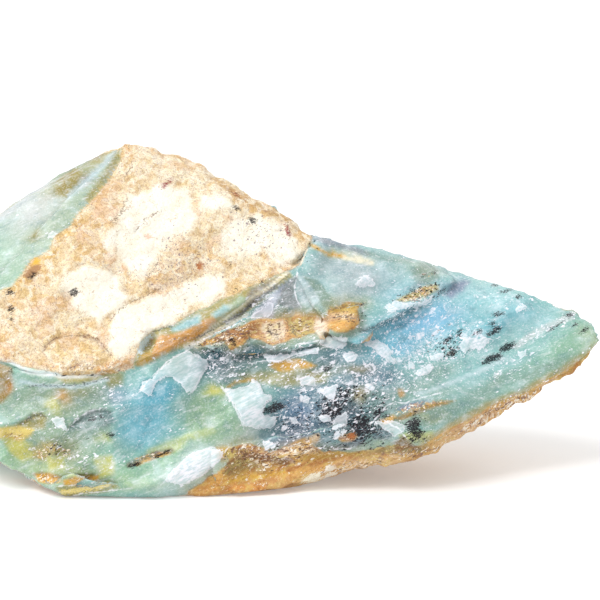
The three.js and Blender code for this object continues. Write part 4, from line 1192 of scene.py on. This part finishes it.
def rock_tint():
    tint = dyed(all_over("tan"), [
        ("pink_tan", smooth(0.4, 0.7, clouds(points, 6, 100))),
        ("sand", smooth(0.5, 0.7, clouds(points, 5, 104))),
        ("cream", smooth(-0.6, 0.6, drawing.lobe) * (1 - front)),
        ("rose", 0.5 * smooth(0.6, 0.7, clouds(points, 4, 108)) * (1 - front)),
    ])
    ahead = washed(tint, drawing.loose, ROCK_WASHES)
    ahead = dye(ahead, "chalk", smooth(-0.8, 0.7, drawing.lobe) * (0.95 + 0.3 * lumps))
    return on_front(tint, stroked(ahead, drawing.tight, ROCK_STROKES))


def crust_tint():
    tint = dyed(all_over("ochre"), [
        ("brown", smooth(0.4, 0.7, clouds(points, 3, 112))),
        ("amber", 0.7 * smooth(0.5, 0.7, clouds(points, 4, 116))),
        ("pink_tan", 0.8 * smooth(0.5, 0.66, clouds(bedded, (7, 4, 3), 138))),
    ])
    return on_front(tint, painted(tint, drawing, CRUST_WASHES, CRUST_PATCHES, CRUST_STROKES))


def marks():
    """How far points lie inside the nearest mark or stain, in millimetres, and its colour."""
    mark = np.full(len(points), -np.inf)
    tint = np.zeros((len(points), 3))
    for name, outline in [*(("ink", outline) for outline in INKS), *STAINS]:
        depth = inside(drawing.spot, outline) / PIXELS_PER_MM
        tint[depth > mark] = linear(name)
        mark = np.maximum(mark, depth)
    return on_front(-FAR_OFF, mark), tint


def flake_lightness():
    light = np.full(len(points), PLAIN_FLAKE)
    for flake_light, _, outline in FLAKES:
        light = np.where(inside(drawing.tight, outline) > -FLAKE_MARGIN, flake_light, light)
    return light


tint = opal_tint()
tint += (crust_tint() - tint) * smooth(-0.12, 0.12, drawing.crust)[:, None]
tint += (rock_tint() - tint) * smooth(-0.12, 0.12, drawing.rock)[:, None]
mark, mark_tint = marks()
flake_outlines = [outline for _, _, outline in FLAKES]
frost_behind = 0.5 * smooth(0.45, 0.7, clouds(points, 8, 120))


# ---- the mesh ----
def put_field(name, kind, key, values):
    """A value for each point, which the material reads."""
    field = mesh.attributes.new(name, kind, "POINT")
    field.data.foreach_set(key, values.astype(np.float32).ravel())


mesh = bpy.data.meshes.new("opal_stone_surface")
mesh.vertices.add(len(points))
mesh.vertices.foreach_set("co", ((points - MIDDLE) * METRE).astype(np.float32).ravel())
mesh.loops.add(quads.size)
mesh.loops.foreach_set("vertex_index", quads.astype(np.int32).ravel())
mesh.polygons.add(len(quads))
mesh.polygons.foreach_set("loop_start", np.arange(0, quads.size, 4, dtype=np.int32))
mesh.update(calc_edges=True)
mesh.validate()
mesh.shade_smooth()
numbers = {
    "rock": drawing.rock, "crust": drawing.crust, "lobe": drawing.lobe,
    "flake": on_front(-FAR_OFF, nearest_outline(drawing.tight, flake_outlines)),
    "flake_light": flake_lightness(), "mark": mark, "frost": on_front(frost_behind, drawing.frost),
    "soot": gathered(drawing.spot, SOOT) * front, "grit": drawing.grit,
    "crack_and_shade_line": on_front(FAR_OFF, nearest_run(drawing.tight, CRACKS_AND_SHADE_LINES)),
    "pale": on_front(FAR_OFF, nearest_run(drawing.tight, PALE_LINES)),
}
for name, values in numbers.items():
    put_field(name, "FLOAT", "value", values)
for name, values in {"tint": tint, "mark_tint": mark_tint}.items():
    opaque = np.column_stack([np.clip(values, 0, 1), np.ones(len(values))])
    put_field(name, "FLOAT_COLOR", "color", opaque)
put_field("bedded", "FLOAT_VECTOR", "vector", bedded)


def placed(name, data):
    """A new object in the scene."""
    thing = bpy.data.objects.new(name, data)
    bpy.context.scene.collection.objects.link(thing)
    return thing


stone = placed("opal_stone_surface", mesh)


# ---- material ----
class Shader:
    """Short ways to add nodes to a material."""

    def __init__(self, name):
        self.material = bpy.data.materials.new(name)
        self.material.use_nodes = True
        self.nodes = self.material.node_tree.nodes
        self.surface = self.nodes["Principled BSDF"]

    def put(self, socket, value):
        if isinstance(value, bpy.types.NodeSocket):
            self.material.node_tree.links.new(value, socket)
        elif value is not None:
            socket.default_value = value

    def fill(self, node, values):
        for name, value in values.items():
            self.put(node.inputs[name], value)

    def node(self, kind, *values, **settings):
        """A new node with its first inputs and its settings."""
        node = self.nodes.new("ShaderNode" + kind)
        for name, value in settings.items():
            setattr(node, name, value)
        for socket, value in zip(node.inputs, values):
            self.put(socket, value)
        return node

    def field(self, name, output="Fac"):
        return self.node("Attribute", attribute_name=name).outputs[output]

    def math(self, operation, *values):
        return self.node("Math", *values, operation=operation).outputs[0]

    def times(self, a, b):
        return self.math("MULTIPLY", a, b)

    def larger(self, a, b):
        return self.math("MAXIMUM", a, b)

    def fewer(self, cells, share):
        """1 in this share of the cells, 0 in the others."""
        return self.math("LESS_THAN", cells, share)

    def added(self, value, factor, rest):
        """The value times the factor, plus the rest."""
        return self.math("MULTIPLY_ADD", value, factor, rest)

    def frayed(self, value, noise, amount):
        """The value pushed up and down by noise."""
        return self.added(noise, amount, self.math("SUBTRACT", value, amount / 2))

    def rise(self, value, low, high, top=1.0):
        """From 0 at low to top at high, without corners."""
        values = (value, low, high, 0.0, top)
        return self.node("MapRange", *values, interpolation_type="SMOOTHSTEP").outputs[0]

    def stretched(self, vector, x, y, z):
        return self.node("VectorMath", vector, (x, y, z), operation="MULTIPLY").outputs[0]

    def noise(self, vector, scale, detail=2.0, roughness=0.5):
        return self.node("TexNoise", vector, None, scale, detail, roughness).outputs[0]

    def warped(self, vector, scale, amount):
        """The vector pushed about by noise."""
        noise = self.node("TexNoise", vector, None, scale).outputs["Color"]
        values = (noise, (amount, amount, amount), vector)
        return self.node("VectorMath", *values, operation="MULTIPLY_ADD").outputs[0]

    def cells(self, vector, scale):
        """A random number for each cell of space."""
        cells = self.node("TexVoronoi", vector, None, scale).outputs["Color"]
        return self.node("SeparateColor", cells).outputs[0]

    def seams(self, vector, scale):
        """Distance to the seams between the cells of space."""
        return self.node("TexVoronoi", vector, None, scale, feature="DISTANCE_TO_EDGE").outputs[0]

    def mix(self, factor, a, b):
        """Colour a with b over it; a Mix node's colours come after its other kinds of input."""
        values = (factor, None, None, None, None, None, a, b)
        return self.node("Mix", *values, data_type="RGBA").outputs[2]

    def layered(self, base, layers):
        """The base with colours laid on: noise, where it starts, where it is full, amount, colour."""
        for noise, low, high, top, shade, *parts in layers:
            amount = self.rise(noise, low, high, top)
            for part in parts:
                amount = self.times(amount, part)
            base = self.mix(amount, base, colour(shade) if isinstance(shade, str) else shade)
        return base


def colour(name):
    return (*linear(name), 1.0)


def white_flecks(s, t):
    """Crumbs and dust, more of them where frost gathers."""
    frost = s.field("frost")
    dusting = s.noise(t.place, 7.0, 2.0, 0.7)
    big = s.fewer(s.cells(t.crumbled, 1.3), s.added(frost, 0.26, -0.04))
    small = s.fewer(s.cells(t.crumbled, 3.2), s.times(frost, 0.26))
    tiny = s.fewer(s.cells(t.crumbled, 7.0), s.added(frost, 0.42, 0.006))
    dust = s.rise(s.added(frost, 0.2, dusting), 0.73, 0.79, 0.8)
    flecks = s.larger(s.larger(big, small), s.larger(tiny, dust))
    return s.times(flecks, s.rise(t.medium, 0.3, 0.6, 0.9))


def dark_flecks(s, t):
    """Black grains where soot gathers."""
    grains = s.fewer(s.cells(t.crumbled, 4.2), s.times(t.soot, 0.45))
    bits = s.fewer(s.cells(t.crumbled, 8.5), s.times(t.soot, 0.55))
    return s.times(s.larger(grains, bits), s.rise(t.fine, 0.3, 0.42, 0.95))


def grit_colour(s, t):
    """Grains of many colours."""
    grains = s.cells(t.crumbled, 2.8)
    crumbs = s.cells(t.crumbled, 5.2)
    return s.layered(colour("umber"), [
        (grains, 0.14, 0.16, 1.0, "brown"),
        (grains, 0.36, 0.38, 1.0, t.tint),
        (crumbs, 0.62, 0.64, 0.7, "ochre"),
        (crumbs, 0.8, 0.82, 0.9, "bone"),
        (crumbs, 0.12, 0.1, 0.8, "plum"),
    ])


def stone_textures(s):
    """Fields, noises and masks that several parts of the stone share."""
    t = SimpleNamespace(place=s.field("bedded", "Vector"), tint=s.field("tint", "Color"))
    t.soot = s.field("soot")
    t.mist = s.noise(t.place, 0.55, 4.0, 0.6)
    t.medium = s.noise(t.place, 1.6, 4.0, 0.6)
    t.grain = s.noise(t.place, 2.6, 5.0, 0.75)
    t.fine = s.noise(t.place, 4.5, 3.0, 0.6)
    t.sanded = s.noise(t.place, 6.5, 3.0, 0.7)
    t.stubble = s.noise(t.place, 14.0, 2.0, 0.7)
    t.bands = s.noise(s.stretched(t.place, 0.25, 1.2, 1.6), 1.0, 4.0, 0.6)
    t.streaks = s.noise(s.stretched(t.place, 0.5, 3.0, 4.5), 1.0, 3.0, 0.7)
    t.crumbled = s.warped(s.stretched(t.place, 0.6, 1.0, 1.2), 2.5, 0.6)
    t.rubble = s.warped(s.warped(t.place, 0.7, 1.6), 2.2, 0.5)
    t.bits = s.cells(t.rubble, 1.1)
    t.clast_seams = s.seams(t.rubble, CLAST_SCALE)
    t.rock_mask = s.rise(s.frayed(s.field("rock"), t.medium, 0.5), *MASK_EDGE)
    t.crust_mask = s.rise(s.frayed(s.field("crust"), t.medium, 0.6), *MASK_EDGE)
    t.rough_mask = s.larger(t.rock_mask, t.crust_mask)
    t.opal_mask = s.math("SUBTRACT", 1.0, t.rough_mask)
    t.flake_edge = s.frayed(s.frayed(s.field("flake"), t.medium, 1.1), t.fine, 0.4)
    t.flake_mask = s.times(s.rise(t.flake_edge, *MARK_EDGE), t.opal_mask)
    t.white_flecks = white_flecks(s, t)
    t.dark_flecks = dark_flecks(s, t)
    t.grit = grit_colour(s, t)
    grit = s.math("SUBTRACT", s.field("grit"), 1.2)
    t.grit_mask = s.rise(s.added(t.fine, 1.4, grit), 0.0, 0.25, 0.9)
    return t


def flake_colour(s, t):
    """White frost, thinner in places and on the darker flakes."""
    frosted = s.mix(s.rise(t.streaks, 0.4, 0.6), colour("glacier"), colour("frost"))
    frosted = s.mix(s.rise(t.mist, 0.4, 0.62, 0.9), s.mix(0.45, frosted, t.tint), frosted)
    frosted = s.layered(frosted, [(t.stubble, 0.6, 0.7, 0.5, "frost")])
    frosted = s.mix(s.field("flake_light"), s.mix(0.75, frosted, t.tint), frosted)
    return s.layered(frosted, [(t.flake_edge, 0.25, 0.0, 0.6, "frost")])


def opal_colour(s, t):
    """Clouds, slight bands along the bedding, grit, soot, specks of frost and frosted flakes."""
    opal = s.layered(t.tint, [
        (t.mist, 0.5, 0.7, 0.3, "ice"),
        (t.mist, 0.48, 0.3, 0.3, "deep_teal"),
        (t.bands, 0.52, 0.72, 0.3, "frost"),
        (t.bands, 0.46, 0.28, 0.25, "deep_teal"),
        (t.fine, 0.5, 0.72, 0.28, "frost"),
        (t.fine, 0.45, 0.25, 0.3, "deep_teal"),
        (t.streaks, 0.58, 0.7, 0.35, "frost"),
    ])
    opal = s.mix(s.times(t.grit_mask, 0.8), opal, t.grit)
    opal = s.mix(t.dark_flecks, opal, colour("ink"))
    opal = s.mix(t.white_flecks, opal, colour("frost"))
    return s.mix(t.flake_mask, opal, flake_colour(s, t))


def host_rock_colour(s, t):
    """Patches, clasts, nodules, grains, specks and hair cracks; the pale lobes have fewer of them."""
    patches = s.noise(t.place, 0.6, 4.0, 0.6)
    specks = s.noise(t.place, 5.5, 3.0, 0.65)
    nodules = s.noise(t.rubble, 1.0, 2.0, 0.5)
    clasts = s.cells(t.rubble, CLAST_SCALE)
    cracks = s.math("ABSOLUTE", s.math("SUBTRACT", s.noise(t.place, 0.35, 3.0, 0.55), 0.5))
    lobe = s.rise(s.field("lobe"), -0.4, 0.6)
    light = s.mix(lobe, colour("sand"), colour("chalk"))
    plain = s.math("SUBTRACT", 1.0, s.times(lobe, 0.8))
    host = s.layered(t.tint, [
        (patches, 0.48, 0.64, 0.5, "ochre", plain),
        (patches, 0.46, 0.34, 0.6, light),
        (clasts, 0.55, 0.62, 0.4, "cream"),
        (nodules, 0.5, 0.6, 0.85, "cream"),
        (nodules, 0.45, 0.35, 0.4, "dark_gold", plain),
        (clasts, 0.2, 0.15, 0.35, "rose", plain),
        (t.bits, 0.6, 0.75, 0.3, "chalk"),
        (t.bits, 0.25, 0.1, 0.3, "ochre", plain),
        (t.clast_seams, 0.08, 0.0, 0.5, "brown", s.rise(t.medium, 0.5, 0.65), plain),
        (t.grain, 0.5, 0.62, 0.45, "brown", plain),
        (t.grain, 0.48, 0.36, 0.7, light),
        (t.sanded, 0.52, 0.62, 0.5, "brown", plain),
        (t.sanded, 0.46, 0.36, 0.6, light),
        (t.stubble, 0.56, 0.66, 0.6, "brown", plain),
        (t.stubble, 0.62, 0.7, 0.3, "brown"),
        (specks, 0.62, 0.66, 0.8, "plum", plain),
        (cracks, 0.01, 0.003, 0.5, "brown", s.rise(t.fine, 0.45, 0.55)),
    ])
    host = s.mix(s.times(t.grit_mask, 0.8), host, t.grit)
    dots = s.fewer(s.cells(t.crumbled, 8.0), s.times(t.soot, 0.2))
    return s.mix(s.times(dots, 0.8), host, colour("plum"))


def crust_colour(s, t):
    """Rusty bands, streaks and grains."""
    crust = s.layered(t.tint, [
        (t.bands, 0.52, 0.68, 0.4, "rust"),
        (t.bands, 0.47, 0.34, 0.5, "straw"),
        (t.grain, 0.54, 0.66, 0.4, "umber"),
        (t.grain, 0.46, 0.33, 0.7, "sand"),
        (t.streaks, 0.52, 0.66, 0.5, "rust"),
        (t.streaks, 0.46, 0.34, 0.5, "straw"),
        (t.sanded, 0.58, 0.66, 0.4, "brown"),
        (t.sanded, 0.42, 0.34, 0.6, "biscuit"),
        (t.medium, 0.6, 0.7, 0.35, "rust"),
    ])
    crust = s.mix(t.grit_mask, crust, t.grit)
    crust = s.mix(t.white_flecks, crust, colour("bone"))
    return s.mix(t.dark_flecks, crust, colour("umber"))


def marked(s, t, base):
    """The base with torn-edged marks, thin dark lines of cracks and painted shade, and thin pale lines.
    """
    shreds = s.noise(s.stretched(t.place, 0.3, 1.2, 2.0), 4.0, 4.0, 0.8)
    mark = s.rise(s.frayed(s.field("mark"), shreds, 2.0), *MARK_EDGE, 0.95)
    mark = s.times(mark, s.rise(t.sanded, 0.68, 0.54))
    base = s.mix(mark, base, s.field("mark_tint", "Color"))
    crack_and_shade_line = s.math("ABSOLUTE", s.frayed(s.field("crack_and_shade_line"), t.medium, 1.2))
    dark = s.mix(t.rock_mask, colour("shade"), colour("umber"))
    pale = s.math("ABSOLUTE", s.field("pale"))
    return s.layered(base, [
        # dark lines: cracks, and painted shade at steps and under the rim
        (s.frayed(crack_and_shade_line, t.fine, 0.5), 0.1, 0.0, 0.7, dark),
        # pale lines in frost white; one is a painted highlight on the edge of a step
        (s.frayed(pale, t.medium, 0.7), 0.12, 0.0, 0.6, "frost"),
    ])


def bumps(s, t, frosted):
    """The finest grain, as a bump: sandy on rock and crust, slight on opal and frost."""
    height = s.added(t.sanded, 1.2, s.times(t.grain, 1.2))
    height = s.added(s.rise(t.clast_seams, 0.0, 0.15), 0.6, height)
    height = s.added(t.bits, 0.4, height)
    height = s.times(height, t.rough_mask)
    height = s.added(frosted, 0.25, height)
    height = s.added(s.times(t.fine, t.opal_mask), 0.25, height)
    bump = s.node("Bump")
    s.fill(bump, {"Strength": 0.6, "Distance": 0.25 * METRE, "Height": height})
    return bump.outputs[0]


def stone_material():
    s = Shader("opal_and_host_rock")
    t = stone_textures(s)
    base = s.mix(t.crust_mask, opal_colour(s, t), crust_colour(s, t))
    base = s.mix(t.rock_mask, base, host_rock_colour(s, t))
    frosted = s.larger(t.flake_mask, t.white_flecks)
    rough = s.added(frosted, 0.2, s.added(t.medium, 0.2, 0.14))
    s.fill(s.surface, {
        "Base Color": marked(s, t, base),
        "Roughness": s.added(t.rough_mask, 0.45, rough),
        "Normal": bumps(s, t, frosted),
        "Subsurface Weight": s.times(t.opal_mask, 0.35),
        "Subsurface Radius": (1.0, 1.3, 1.4),
        "Subsurface Scale": 2.0 * METRE,
        "IOR": 1.45,
        "Specular IOR Level": 0.3,
    })
    return s.material


mesh.materials.append(stone_material())
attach(stone, "root")
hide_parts("opal_stone")


# ---- stage, light and camera ----
def paper():
    """Bright paper that is lit from below too, as on a light table."""
    s = Shader("paper")
    s.fill(s.surface, {
        "Base Color": (0.78, 0.78, 0.78, 1),
        "Roughness": 0.7,
        "Specular IOR Level": 0.1,
        "Emission Color": (1, 0.99, 0.985, 1),
        "Emission Strength": 0.2,
    })
    return s.material


def floor():
    sheet = bpy.data.meshes.new("floor")
    turns = ((-1, -1), (1, -1), (1, 1), (-1, 1))
    sheet.from_pydata([(x * FLOOR_REACH, y * FLOOR_REACH, 0) for x, y in turns], [], [(0, 1, 2, 3)])
    sheet.materials.append(paper())
    placed("floor", sheet)


def soft_light(name, at, side, power):
    """A square light that looks at the stone."""
    light = bpy.data.lights.new(name, "AREA")
    light.shape = "SQUARE"
    light.size = side
    light.energy = power
    thing = placed(name, light)
    thing.location = at
    way = Vector(LIGHT_TARGET) - Vector(at)
    thing.rotation_euler = way.to_track_quat("-Z", "Y").to_euler()


def camera():
    lens = bpy.data.cameras.new("camera")
    lens.sensor_width = SENSOR
    lens.lens = SENSOR * PIXELS_PER_MM * VIEW_DISTANCE / DRAWING_SIDE
    thing = placed("camera", lens)
    place = (EYE - MIDDLE) * METRE
    turn = Matrix((RIGHT, ABOVE, -AHEAD)).transposed().to_4x4()
    thing.matrix_world = Matrix.Translation(place) @ turn
    bpy.context.scene.camera = thing


def studio():
    """White light from all round."""
    world = bpy.data.worlds.new("studio")
    world.use_nodes = True
    background = world.node_tree.nodes["Background"]
    background.inputs["Color"].default_value = (1, 1, 1, 1)
    background.inputs["Strength"].default_value = ROUND_LIGHT
    bpy.context.scene.world = world


floor()
soft_light("window", **WINDOW)
soft_light("back_glow", **BACK_GLOW)
studio()
camera()
bpy.context.scene.view_settings.view_transform = "Standard"
